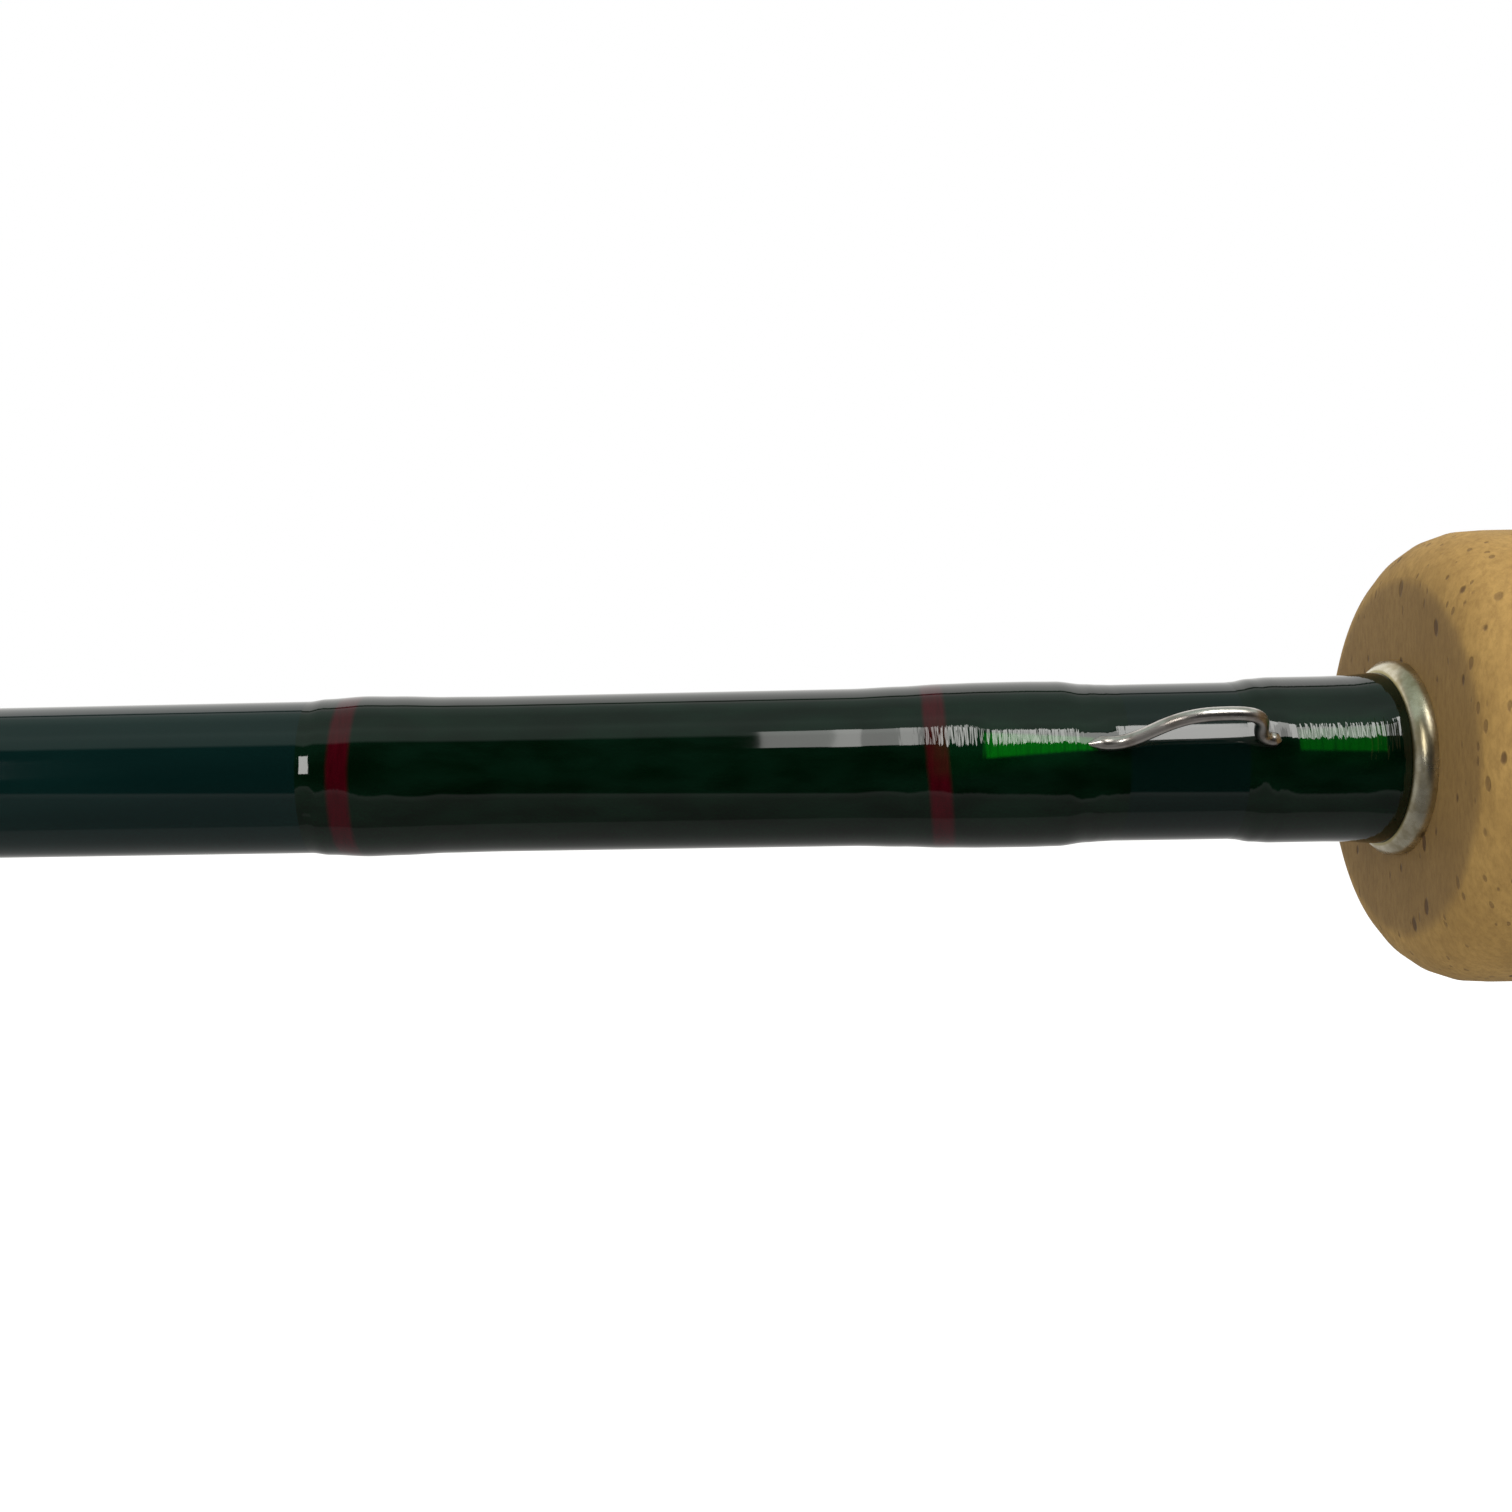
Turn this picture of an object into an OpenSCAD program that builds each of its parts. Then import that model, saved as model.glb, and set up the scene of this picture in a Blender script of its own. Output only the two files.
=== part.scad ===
// Four-piece fly rod, put together. The rod's axis runs along +X from the
// butt cap to the tip, the guides and the reel foot face -Z, and the hook
// keeper faces +Y. Millimetres, +Z up, origin in the butt cap's rear face.

/* [Blank] */
// Length of each of the four rod sections
section_len = 725; // [600:5:880]
// Outer diameter of the blank at the butt cap
butt_od = 10.6; // [9.6:0.1:12.8]
// Outer diameter at the tip end of the butt section
butt_tip_od = 7.7; // [6.6:0.1:8.4]
// Outer diameter at the tip end of the lower middle section
lower_mid_tip_od = 5.7; // [4.8:0.1:6.4]
// Outer diameter at the tip end of the upper middle section
upper_mid_tip_od = 3.5; // [3:0.1:4.2]
// Outer diameter at the very tip
tip_od = 1.7; // [1.5:0.05:2.1]
// Wall of the butt section
butt_wall = 0.75; // [0.6:0.05:0.9]
// Wall of the other sections
section_wall = 0.55; // [0.45:0.05:0.6]

/* [Ferrules] */
// How far the lower middle section slides over the butt section
ferrule_1_len = 60; // [50:1:72]
// How far the upper middle section slides over the lower middle one
ferrule_2_len = 52; // [43:1:62]
// How far the tip section slides over the upper middle one
ferrule_3_len = 45; // [38:1:54]
// Wall of a sleeve at its mouth
ferrule_wall = 0.58; // [0.5:0.02:0.7]
// Radial clearance between a sleeve and the spigot in it
ferrule_clear = 0.03; // [0.02:0.01:0.06]
// Length of the thread hoop around a sleeve's mouth
ferrule_wrap_len = 16; // [10:1:22]

/* [Cork grip] */
// Number of cork rings glued end to end
cork_rings = 14; // [12:1:16]
// Thickness of one cork ring
cork_ring_len = 12.7; // [10.6:0.1:15.3]
// Height of the grip's rims over the reel seat
rim_h = 4.9; // [4.8:0.1:6.6]
// Height of the swell in the middle of the grip over the reel seat
swell_h = 4.8; // [4:0.1:5.8]
// Height of the waists between the swell and the rims over the reel seat
waist_h = 3.2; // [2.6:0.1:3.9]
// How far the rounding of the grip's front face reaches in from the rim
front_round_in = 3.6; // [2.5:0.1:4.2]
// Length of the rounding from the front face to the rim
front_round = 4; // [2:0.5:5]
// Glue gap between cork and blank
glue_gap = 0.05; // [0.03:0.01:0.1]

/* [Reel seat] */
// Length of the butt cap
cap_len = 12; // [10:0.5:16]
// How far the butt cap stands out over the barrel
cap_h = 3; // [2.4:0.1:3.6]
// Length of the threaded barrel
barrel_len = 40; // [36:1:48]
// Wall of the barrel under its thread
barrel_wall = 1; // [0.8:0.1:1.2]
// Wall of the wood insert
insert_wall = 2.2; // [1.9:0.1:2.6]
// Wall of the cork bushings inside the insert
bushing_t = 0.9; // [0.7:0.1:1.2]
// Length of a cork bushing
bushing_len = 10; // [8:1:12]
// Bare insert between the barrel and the fixed hood, for the reel foot
foot_window = 57.2; // [50:0.1:68.7]
// Pitch of the thread
thread_pitch = 1.5; // [1:0.25:2]
// Depth of the thread
thread_depth = 0.5; // [0.3:0.05:0.6]
// Length of the knurled lock nut
nut_len = 9; // [7:0.5:10.5]
// Wall of the nut out to its knurl's crests
nut_wall = 2.1; // [1.8:0.1:2.5]
// Depth of the nut's knurl
knurl_depth = 0.35; // [0.25:0.05:0.45]
// Number of ridges on the knurl
nut_ridges = 40; // [30:2:50]
// Length of the sliding hood
hood_len = 20; // [17:0.5:22]
// How far the lock nut drives the sliding hood
hood_travel = 12; // [8:1:14]
// Wall of both hoods
hood_wall = 0.9; // [0.7:0.05:1.1]
// Radial clearance of hood and nut on the seat
seat_clear = 0.1; // [0.06:0.01:0.15]
// Width of a hood's pocket for the reel foot
foot_width = 14.8; // [13.6:0.1:16]
// Room between the insert's flat and the roof of a hood, for the reel foot
foot_room = 3.4; // [2.8:0.1:4]
// Depth of a hood's pocket for the end of the reel foot
foot_pocket = 9; // [7:0.5:11]
// Depth of the flat let into the insert for the reel foot
foot_flat = 0.9; // [0.5:0.1:1.2]
// How far the fixed hood's mouth stands out of the cork
hood_proud = 3; // [2:0.5:5]
// Length of the fixed hood
fixed_hood_len = 18; // [15:0.5:20]

/* [Keeper and signature wraps] */
// Thickness of thread and epoxy over the blank on the keeper wraps
wrap_t = 0.3; // [0.28:0.01:0.4]
// Thickness of the thin epoxy over the signature space
signature_t = 0.12; // [0.08:0.01:0.2]
// Length of the winding check
check_len = 1.2; // [1:0.1:2]
// Height of the winding check over the blank
check_h = 1.08; // [0.9:0.02:1.3]
// Length of the keeper wrap next to the check
rear_wrap_len = 7.4; // [7.2:0.1:10.5]
// Bare blank between the two keeper wraps
keeper_window = 7.9; // [6.6:0.1:9.5]
// Length of the wrap over the keeper's front foot
front_wrap_len = 10; // [8.6:0.1:12]
// Length of one red trim band
trim_len = 1.25; // [1:0.05:1.6]
// Length of the signature space between the trim bands
signature_len = 33.8; // [28:0.1:41]
// Length of the wrap's end beyond the last trim band
front_end_len = 2; // [1.6:0.1:2.4]

/* [Hook keeper] */
// Direction of the keeper, up from +Y
keeper_angle = 13; // [0:1:30]
// Diameter of the keeper's wire
keeper_wire = 0.8; // [0.6:0.05:1]
// Height of the keeper's arch over its feet
keeper_height = 2.6; // [2:0.1:3.5]
// Sideways lean of the arch
keeper_lean = 0.9; // [0.5:0.1:2]
// Length of a keeper foot
keeper_foot_len = 6; // [5:0.1:7]
// Width of a keeper foot
keeper_foot_w = 1.7; // [1.4:0.1:2.1]
// How far the keeper's wire reaches under the wrap on its front foot
keeper_under = 2; // [1.6:0.1:2.4]

/* [Guides] */
// Distance of the stripping guide below the first ferrule's mouth
strip_below = 42; // [36:1:60]
// Bore radius of the stripping guide's ceramic ring
strip_bore_r = 4; // [3.4:0.1:4.8]
// Clear height between the blank and the stripping guide's ring
strip_standoff = 4.5; // [3.5:0.1:6]
// Wall of the ceramic ring
ring_wall = 1.2; // [1:0.1:1.5]
// Length of the ceramic ring
ring_len = 1.8; // [1.6:0.1:2.2]
// Wire diameter of the stripping guide's legs
strip_wire = 1.1; // [0.9:0.1:1.3]
// Length of a stripping guide foot
strip_foot_len = 7; // [6:0.5:9]
// Loop radius of the snake guide nearest the butt
snake_big_r = 3.2; // [2.6:0.1:3.8]
// Loop radius of the snake guide nearest the tip
snake_small_r = 2; // [1.7:0.1:2.4]
// Wire diameter of the snake guide nearest the butt
snake_big_wire = 1; // [0.8:0.05:1.2]
// Wire diameter of the snake guide nearest the tip
snake_small_wire = 0.7; // [0.6:0.05:0.85]
// Thickness of a guide foot where it lies under its wrap
foot_t = 0.2; // [0.15:0.01:0.22]
// Length of the tip-top's tube
tip_tube_len = 12; // [9:1:15]
// Inner radius of the tip-top's loop
tip_loop_r = 2.3; // [1.9:0.1:2.8]

/* [Hidden] */
SNAKES = 9;

// finishes
BLANK = "#0b2e36";
THREAD = "#0a2014";
RED = "#7a0a1c";
WIRE = "#b9b4aa";
NICKEL = "#c9c3b4";
CORK = "#b08d62";
WOOD = "#5b3420";
CERAMIC = "#3a3d40";

// the blank, section by section: 0 butt, 1 lower middle, 2 upper middle, 3 tip
overlaps = [0, ferrule_1_len, ferrule_2_len, ferrule_3_len];
tip_ods = [butt_tip_od, lower_mid_tip_od, upper_mid_tip_od, tip_od];
walls = [butt_wall, section_wall, section_wall, section_wall];
blank_inset = cap_len / 2;
spigot_room = 2;    // free length past a spigot's end inside its sleeve
rod_end = end_x(3);
function start_x(k) = k == 0 ? 0 : end_x(k - 1) - overlaps[k];
function end_x(k) = start_x(k) + section_len;
function base_od(k) = k == 0 ? butt_od
    : od_at(k - 1, start_x(k)) + 2 * (ferrule_clear + ferrule_wall);
function od_at(k, x) = base_od(k)
    + (tip_ods[k] - base_od(k)) * (x - start_x(k)) / section_len;
function blank_r(k, x) = od_at(k, x) / 2;
function sleeve_r(k, x) = blank_r(k - 1, x) + ferrule_clear;

// the reel seat, from the butt cap forward
seat_r = butt_od / 2 + bushing_t + 2 * glue_gap + insert_wall;  // thread crests and insert
barrel_bore_r = seat_r - thread_depth - barrel_wall;
cap_r = seat_r + cap_h;
nut_r = seat_r + seat_clear + nut_wall;
nut_rear = cap_len + 10;
nut_chamfer = 0.9;
hood_rear = nut_rear + nut_len + 0.3;
barrel_front = cap_len + barrel_len;
hood_mouth = barrel_front + foot_window;
hood_end = hood_mouth + fixed_hood_len;
insert_front = hood_end - 1.5;
foot_r = foot_width / 2;
foot_axis = seat_r - foot_flat + foot_room - foot_r;    // drop of a hood's bulge below the axis
flat_margin = 2;    // full insert left at both ends of its flat

// the grip: rear rim, waist, swell, waist, front rim
grip_len = cork_rings * cork_ring_len;
grip_rear = hood_mouth + hood_proud;
grip_front = grip_rear + grip_len;
well_r = seat_r + rim_h;
swell_r = seat_r + swell_h;
waist_r = seat_r + waist_h;
front_flat_r = well_r - front_round_in;
function blend(a, b, t) = a + (b - a) * (1 - cos(180 * t)) / 2;
function grip_shape(t) =
    t < 0.04 ? blend(well_r - 1.6, well_r - 0.5, t / 0.04) :
    t < 0.24 ? blend(well_r - 0.5, waist_r, (t - 0.04) / 0.2) :
    t < 0.5 ? blend(waist_r, swell_r, (t - 0.24) / 0.26) :
    t < 0.78 ? blend(swell_r, waist_r, (t - 0.5) / 0.28) :
    t < 0.97 ? blend(waist_r, well_r, (t - 0.78) / 0.19) : well_r;
function grip_r(x) =
    let (u = grip_front - x, t = (x - grip_rear) / grip_len)
    u < front_round
        ? front_flat_r + (grip_shape(t) - front_flat_r) * sqrt(1 - pow(1 - u / front_round, 2))
        : grip_shape(t);

// the wraps, from the check forward
check_x = grip_front;
check_r = blank_r(0, check_x) + check_h;
rear_wrap_x = check_x + check_len + 0.3;
window_x = rear_wrap_x + rear_wrap_len;
front_wrap_x = window_x + keeper_window;
trim_2_x = front_wrap_x + front_wrap_len;
signature_x = trim_2_x + trim_len;
trim_1_x = signature_x + signature_len;
front_end_x = trim_1_x + trim_len;
wrap_gap = 0.01;    // hair line between a wrap and what it is wound on
foot_clear = 0.05;  // play beside a guide's foot in its wrap
over_foot = 0.02;   // play above and below it

// the hook keeper, between its two wraps
keeper_turn = 90 + keeper_angle;    // from -Z towards +Y, as turned_slice counts it
keeper_rear_x = window_x;
keeper_front_x = front_wrap_x + keeper_under;

// the guides
strip_x = start_x(1) - strip_below;
hoop_t = 0.8;
ring_clear = 0.03;  // radial play between the ceramic ring and its hoop
hoop_r = strip_bore_r + ring_wall;
strip_axis = blank_r(0, strip_x) + strip_standoff + hoop_r + hoop_t;   // ring centre below axis
strip_foot_w = 2.2;
strip_front_foot = strip_x + 8;
strip_rear_foot = strip_x - 9 - strip_foot_len;
strip_feet = [strip_rear_foot, strip_front_foot];
snake_section = [1, 1, 2, 2, 2, 3, 3, 3, 3];
snake_share = [0.374, 0.774, 0.215, 0.554, 0.862, 0.201, 0.447, 0.662, 0.847];
function snake_k(i) = snake_section[i - 1];
function snake_x(i) = start_x(snake_k(i)) + section_len * snake_share[i - 1];
function grade(a, b, i) = a + (b - a) * (i - 1) / (SNAKES - 1);
function snake_r(i) = grade(snake_big_r, snake_small_r, i);
function snake_wire(i) = grade(snake_big_wire, snake_small_wire, i);
function snake_span(i) = 3.6 * snake_r(i);          // from foot to foot along the rod
function snake_foot(i) = 1.6 + 1.4 * snake_r(i);    // the end of a foot past the span
foot_lap = 0.3;     // how far a snake's foot starts past the end of its wire
wrap_lap = 1.6;     // how far its wrap starts past there
wrap_past = 2.4;    // how far its wrap runs on past the foot

// ---- helpers ----

// a shape turned about the rod's axis; its points are [radius, station]
module turned(points) rotate([0, 90, 0]) rotate_extrude($fn = 64) polygon(points);

// a stretch of such a shape, centred on an angle from -Z towards +Y
module turned_slice(points, angle, spread)
    rotate([angle, 0, 0]) rotate([0, 90, 0]) rotate([0, 0, -spread / 2])
        rotate_extrude(angle = spread, $fn = 64) polygon(points);

// a plain tube between two stations
module tube(x0, x1, r_in, r_out) turned([[r_in, x0], [r_out, x0], [r_out, x1], [r_in, x1]]);

// a thread wrap with rounded epoxy ends on section k of the blank
module wrap(k, x0, x1, t) {
    round_x = min(1.2, (x1 - x0) / 3);
    in_r = [for (x = [x0, x1]) blank_r(k, x) + wrap_gap];
    turned([[in_r[0], x0], [in_r[0] + 0.35 * t, x0],
            [in_r[0] + 0.8 * t, x0 + 0.4 * round_x], [in_r[0] + t, x0 + round_x],
            [in_r[1] + t, x1 - round_x], [in_r[1] + 0.8 * t, x1 - 0.4 * round_x],
            [in_r[1] + 0.35 * t, x1], [in_r[1], x1]]);
}

// a ground guide foot: a curved plate that lies on section k of the blank
module foot(k, x0, x1, width, angle, grow = 0) {
    r0 = max(blank_r(k, x0), blank_r(k, x1)) + wrap_gap;
    spread = 2 * asin(min(0.95, width / 2 / r0)) + 114.6 * grow / r0;
    turned_slice([[r0 - grow, x0 - grow], [r0 + foot_t + grow, x0 - grow],
                  [r0 + foot_t + grow, x1 + grow], [r0 - grow, x1 + grow]], angle, spread);
}

// the direction of a line through points at point i
function ahead(points, i) =
    let (d = points[min(i + 1, len(points) - 1)] - points[max(i - 1, 0)]) d / norm(d);
// one sideways direction for each point, carried along without twisting
function sideways(points, i, last) = i == len(points) ? [] :
    let (t = ahead(points, i), u = last - (last * t) * t, side = u / norm(u))
    concat([side], sideways(points, i + 1, side));

// a round wire swept along points, with one radius for each point
module sweep(points, radii, sides = 8) {
    n = len(points);
    out = sideways(points, 0, [0, 1, 0]);
    corners = [for (i = [0:n - 1], j = [0:sides - 1])
        let (across = cross(ahead(points, i), out[i]), a = 360 * j / sides)
        points[i] + radii[i] * (cos(a) * out[i] + sin(a) * across)];
    skin = [for (i = [0:n - 2], j = [0:sides - 1])
        let (a = i * sides + j, b = i * sides + (j + 1) % sides)
        each [[a, b + sides, b], [a, a + sides, b + sides]]];
    ends = [[for (j = [0:sides - 1]) j], [for (j = [sides - 1:-1:0]) (n - 1) * sides + j]];
    polyhedron(points = corners, faces = concat(skin, ends));
}

// a straight round bar between two points
module bar(p, q, d) {
    v = q - p;
    translate(p) rotate([0, acos(v[2] / norm(v)), atan2(v[1], v[0])])
        cylinder(d = d, h = norm(v), $fn = 32);
}

// the outside of a hood: a sleeve with a bulge for the reel foot below it
module hood_outside(x0, x1, grow = 0) {
    tube(x0, x1, 0, seat_r + seat_clear + hood_wall + grow);
    translate([x0, 0, -foot_axis]) rotate([0, 90, 0])
        cylinder(r = foot_r + hood_wall + grow, h = x1 - x0, $fn = 64);
}

// ---- reel seat ----

module butt_cap() color(NICKEL) difference() {
    turned([[0, 0], [cap_r - 1.5, 0], [cap_r - 0.4, 0.5], [cap_r, 1.6], [cap_r, cap_len - 2],
            [cap_r - 0.6, cap_len - 0.6], [seat_r + 1, cap_len], [0, cap_len]]);
    tube(blank_inset - 1, cap_len + 1, 0, barrel_bore_r);
}

module threaded_barrel() color(NICKEL) {
    plain = 2;  // unthreaded neck at both ends
    first = cap_len + plain;
    turns = floor((barrel_front - 2 * plain - first) / thread_pitch);
    root_r = seat_r - thread_depth;
    ridges = [for (i = [0:turns - 1]) let (x = first + i * thread_pitch)
        each [[root_r, x], [seat_r, x + 0.35 * thread_pitch],
              [seat_r, x + 0.65 * thread_pitch], [root_r, x + thread_pitch]]];
    turned(concat([[barrel_bore_r, cap_len], [root_r, cap_len]], ridges,
                  [[root_r, barrel_front], [barrel_bore_r, barrel_front]]));
}

module lock_nut() color(NICKEL) difference() {
    intersection() {
        translate([nut_rear, 0, 0]) rotate([0, 90, 0])
            // the crests stand a little proud, and the turned shape cuts them flat
            linear_extrude(nut_len) polygon([for (i = [0:2 * nut_ridges - 1])
                let (r = nut_r + 0.1 - (i % 2) * (knurl_depth + 0.1), a = 180 * i / nut_ridges)
                [r * cos(a), r * sin(a)]]);
        turned([[0, nut_rear], [nut_r - nut_chamfer, nut_rear], [nut_r, nut_rear + nut_chamfer],
                [nut_r, nut_rear + nut_len - nut_chamfer],
                [nut_r - nut_chamfer, nut_rear + nut_len], [0, nut_rear + nut_len]]);
    }
    tube(nut_rear - 1, nut_rear + nut_len + 1, 0, seat_r + seat_clear);
}

// both hoods have a bore for the seat and a pocket that the reel foot's end goes into
module hood(x0, x1, pocket_x0, pocket_x1) color(NICKEL) difference() {
    hood_outside(x0, x1);
    tube(x0 - 1, x1 + 1, 0, seat_r + seat_clear);
    translate([pocket_x0, 0, -foot_axis]) rotate([0, 90, 0])
        cylinder(r = foot_r, h = pocket_x1 - pocket_x0, $fn = 64);
}

module sliding_hood()
    hood(hood_rear, hood_rear + hood_len, hood_rear + hood_len - foot_pocket,
         hood_rear + hood_len + 1);

module fixed_hood()
    hood(hood_mouth, hood_end, hood_mouth - 1, hood_mouth + foot_pocket);

module wood_insert() color(WOOD) difference() {
    tube(barrel_front, insert_front, seat_r - insert_wall, seat_r);
    translate([barrel_front + flat_margin, -seat_r, -seat_r - 1])
        cube([insert_front - barrel_front - 2 * flat_margin, 2 * seat_r, 1 + foot_flat]);
}

// three rings that centre the seat on the blank: one in the barrel, two in the insert
module seat_bushings() color("#c9b78e")
    for (b = [[cap_len + 6, barrel_bore_r], [barrel_front + 8, seat_r - insert_wall],
              [insert_front - 14, seat_r - insert_wall]])
        turned([[blank_r(0, b[0]) + glue_gap, b[0]], [b[1] - glue_gap, b[0]],
                [b[1] - glue_gap, b[0] + bushing_len],
                [blank_r(0, b[0]) + glue_gap, b[0] + bushing_len]]);

// ---- blank ----

module blank(k) color(BLANK) {
    x0 = start_x(k) + (k == 0 ? blank_inset : 0);
    x1 = end_x(k);
    sleeve_end = k == 0 ? x0 : end_x(k - 1) + spigot_room;
    sleeve = k == 0 ? [[blank_r(k, x0) - walls[k], x0]]
        : [[sleeve_r(k, x0), x0], [sleeve_r(k, sleeve_end), sleeve_end],
           [min(sleeve_r(k, sleeve_end), blank_r(k, sleeve_end) - walls[k]) - 0.01, sleeve_end]];
    turned(concat([[blank_r(k, x1) - walls[k], x1], [blank_r(k, x1), x1],
                   [blank_r(k, x0), x0]], sleeve));
}

module butt_blank() blank(0);
module lower_mid_blank() blank(1);
module upper_mid_blank() blank(2);
module tip_blank() blank(3);

// ---- cork grip ----

module cork_ring(i) color(CORK) {
    x0 = grip_rear + (i - 1) * cork_ring_len;
    x1 = x0 + cork_ring_len;
    steps = 10;
    edge = [for (j = [0:steps]) let (s = j / steps,
        // the front ring's points crowd towards its rounded rim
        x = x0 + (x1 - x0) * (i == cork_rings ? 1 - pow(1 - s, 2) : s)) [grip_r(x), x]];
    difference() {
        turned(concat([[blank_r(0, x0) + glue_gap, x0]], edge,
                      [[blank_r(0, x1) + glue_gap, x1]]));
        if (x0 < hood_end) hood_outside(x0 - 1, hood_end + glue_gap, glue_gap);
    }
}

// ---- check, keeper and wraps ----

module winding_check() color(NICKEL)
    turned([[blank_r(0, check_x) + glue_gap, check_x], [check_r, check_x],
            [check_r, check_x + 0.5 * check_len], [check_r - 0.35, check_x + 0.85 * check_len],
            [check_r - 0.6, check_x + check_len], [blank_r(0, check_x) + glue_gap + 0.1,
             check_x + check_len]]);

function bezier(a, b, c, d, t) = a * pow(1 - t, 3) + 3 * b * t * pow(1 - t, 2)
    + 3 * c * t * t * (1 - t) + d * pow(t, 3);
// a keeper point from its station, its sideways place and its height over the blank's axis
function keeper_at(p) = [p[0], p[2] * cos(keeper_angle) - p[1] * sin(keeper_angle),
                         p[2] * sin(keeper_angle) + p[1] * cos(keeper_angle)];

module hook_keeper() color(WIRE) {
    low = blank_r(0, window_x) + wrap_gap + keeper_wire / 2;
    top = low + keeper_height;
    crest_x = blend(keeper_rear_x, keeper_front_x, 0.42);
    steep_x = keeper_rear_x + 1;
    rise = [for (s = [0:0.1:1])
        bezier([keeper_front_x, 0, low], [keeper_front_x - 2.4, -0.3, low],
               [keeper_front_x - 2.6, keeper_lean, top], [crest_x, keeper_lean, top], s)];
    fall = [for (s = [0.1:0.1:1])
        bezier([crest_x, keeper_lean, top], [keeper_rear_x - 0.2, keeper_lean + 0.1, top + 0.1],
               [steep_x + 1, 0.2, low], [keeper_rear_x, 0, low], s)];
    heel = [for (s = [0, 1]) [blend(keeper_front_x + 2, keeper_rear_x - 2, s), 0,
                              low - keeper_wire / 2 + foot_t / 2]];
    points = [for (p = concat([heel[0]], rise, fall, [heel[1]])) keeper_at(p)];
    radii = [for (i = [0:len(points) - 1])
        i == 0 || i == len(points) - 1 ? foot_t / 2 : keeper_wire / 2];
    sweep(points, radii);
    foot(0, keeper_rear_x - keeper_foot_len, keeper_rear_x - 0.4, keeper_foot_w, keeper_turn);
    foot(0, keeper_front_x + 0.4, keeper_front_x + keeper_foot_len, keeper_foot_w, keeper_turn);
}

// the room that the keeper needs in a wrap: its foot from x0 to x1, its wire from w0 to w1
module keeper_room(x0, x1, w0, w1) {
    foot(0, x0, x1, keeper_foot_w + 2 * foot_clear, keeper_turn, over_foot);
    rotate([keeper_turn, 0, 0]) translate([w0, 0, -blank_r(0, window_x) - foot_t])
        rotate([0, 90, 0]) cylinder(d = keeper_wire + 0.4, h = w1 - w0, $fn = 32);
}

module keeper_rear_wrap() color(THREAD) difference() {
    wrap(0, rear_wrap_x, window_x, wrap_t);
    keeper_room(keeper_rear_x - keeper_foot_len, window_x + 1, keeper_rear_x - 2.4, window_x + 1);
}

module keeper_front_wrap() color(THREAD) difference() {
    wrap(0, front_wrap_x, trim_2_x, wrap_t);
    keeper_room(front_wrap_x - 1, keeper_front_x + keeper_foot_len,
                front_wrap_x - 1, keeper_front_x + 2.4);
}

module signature_wrap() color(THREAD) {
    wrap(0, signature_x, trim_1_x, signature_t);
    wrap(0, front_end_x, front_end_x + front_end_len, wrap_t);
}

module keeper_trim_bands() color(RED)
    for (x = [trim_2_x, trim_1_x]) wrap(0, x, x + trim_len, wrap_t);

// ---- stripping guide ----

module strip_bar(p, q) bar(p, q, strip_wire);

module stripping_guide_frame() color(WIRE) {
    front = blank_r(0, strip_front_foot) + foot_t;
    rear = blank_r(0, strip_rear_foot + strip_foot_len) + foot_t;
    hoop_len = ring_len - 0.4;
    leg_r = hoop_r + strip_wire / 2 + 0.05;     // the legs meet the hoop and clear the ring
    leg_spread = 50;    // angle of the two rear legs from the top of the hoop
    translate([strip_x - hoop_len / 2, 0, -strip_axis]) rotate([0, 90, 0]) difference() {
        cylinder(r = hoop_r + hoop_t, h = hoop_len, $fn = 64);
        translate([0, 0, -1]) cylinder(r = hoop_r + ring_clear, h = hoop_len + 2, $fn = 64);
    }
    strip_bar([strip_x, 0, -strip_axis + leg_r], [strip_front_foot + 1, 0, -front - 0.3]);
    for (side = [-1, 1])
        strip_bar([strip_x, side * leg_r * sin(leg_spread),
                   -strip_axis + leg_r * cos(leg_spread)],
                  [strip_rear_foot + strip_foot_len - 1, side * 0.5, -rear - 0.3]);
    for (x = strip_feet) foot(0, x, x + strip_foot_len, strip_foot_w, 0);
}

module stripping_guide_ring() color(CERAMIC)
    translate([strip_x - ring_len / 2, 0, -strip_axis]) rotate([0, 90, 0])
        rotate_extrude($fn = 64)
            polygon([[strip_bore_r, 0.3], [strip_bore_r + 0.3, 0], [hoop_r, 0],
                     [hoop_r, ring_len], [strip_bore_r + 0.3, ring_len],
                     [strip_bore_r, ring_len - 0.3]]);

// each wrap leaves 2 mm of its foot bare on the ring's side and runs 4 mm past it
module stripping_guide_wraps() color(THREAD) difference() {
    union() {
        wrap(0, strip_front_foot + 2, strip_front_foot + strip_foot_len + 4, wrap_t);
        wrap(0, strip_rear_foot - 4, strip_rear_foot + strip_foot_len - 2, wrap_t);
    }
    for (x = strip_feet)
        foot(0, x, x + strip_foot_len, strip_foot_w + 2 * foot_clear, 0, over_foot);
}

// ---- snake guides ----

module snake_guide(i) color(WIRE) {
    k = snake_k(i);
    x = snake_x(i);
    span = snake_span(i);
    wire_r = snake_wire(i) / 2;
    surface = blank_r(k, x - span / 2 - snake_foot(i)) + wrap_gap;
    // one turn of a loop that leaves each foot in line with the rod
    turn = [for (s = [0:1 / 20:1]) let (a = 360 * s * s * (3 - 2 * s))
        [x + span * (s - 0.5), snake_r(i) * sin(a),
         -surface - wire_r - snake_r(i) * (1 - cos(a))]];
    heel = [for (side = [-1, 1])
        [x + side * (span / 2 + 1.2), 0, -surface - foot_t / 2]];
    points = concat([heel[0]], turn, [heel[1]]);
    radii = [for (j = [0:len(points) - 1]) j == 0 || j == len(points) - 1 ? foot_t / 2 : wire_r];
    sweep(points, radii);
    for (side = [-1, 1]) {
        ends = [side * (span / 2 + foot_lap), side * (span / 2 + snake_foot(i))];
        foot(k, x + min(ends), x + max(ends), 2 * wire_r + 0.3, 0);
    }
}

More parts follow.
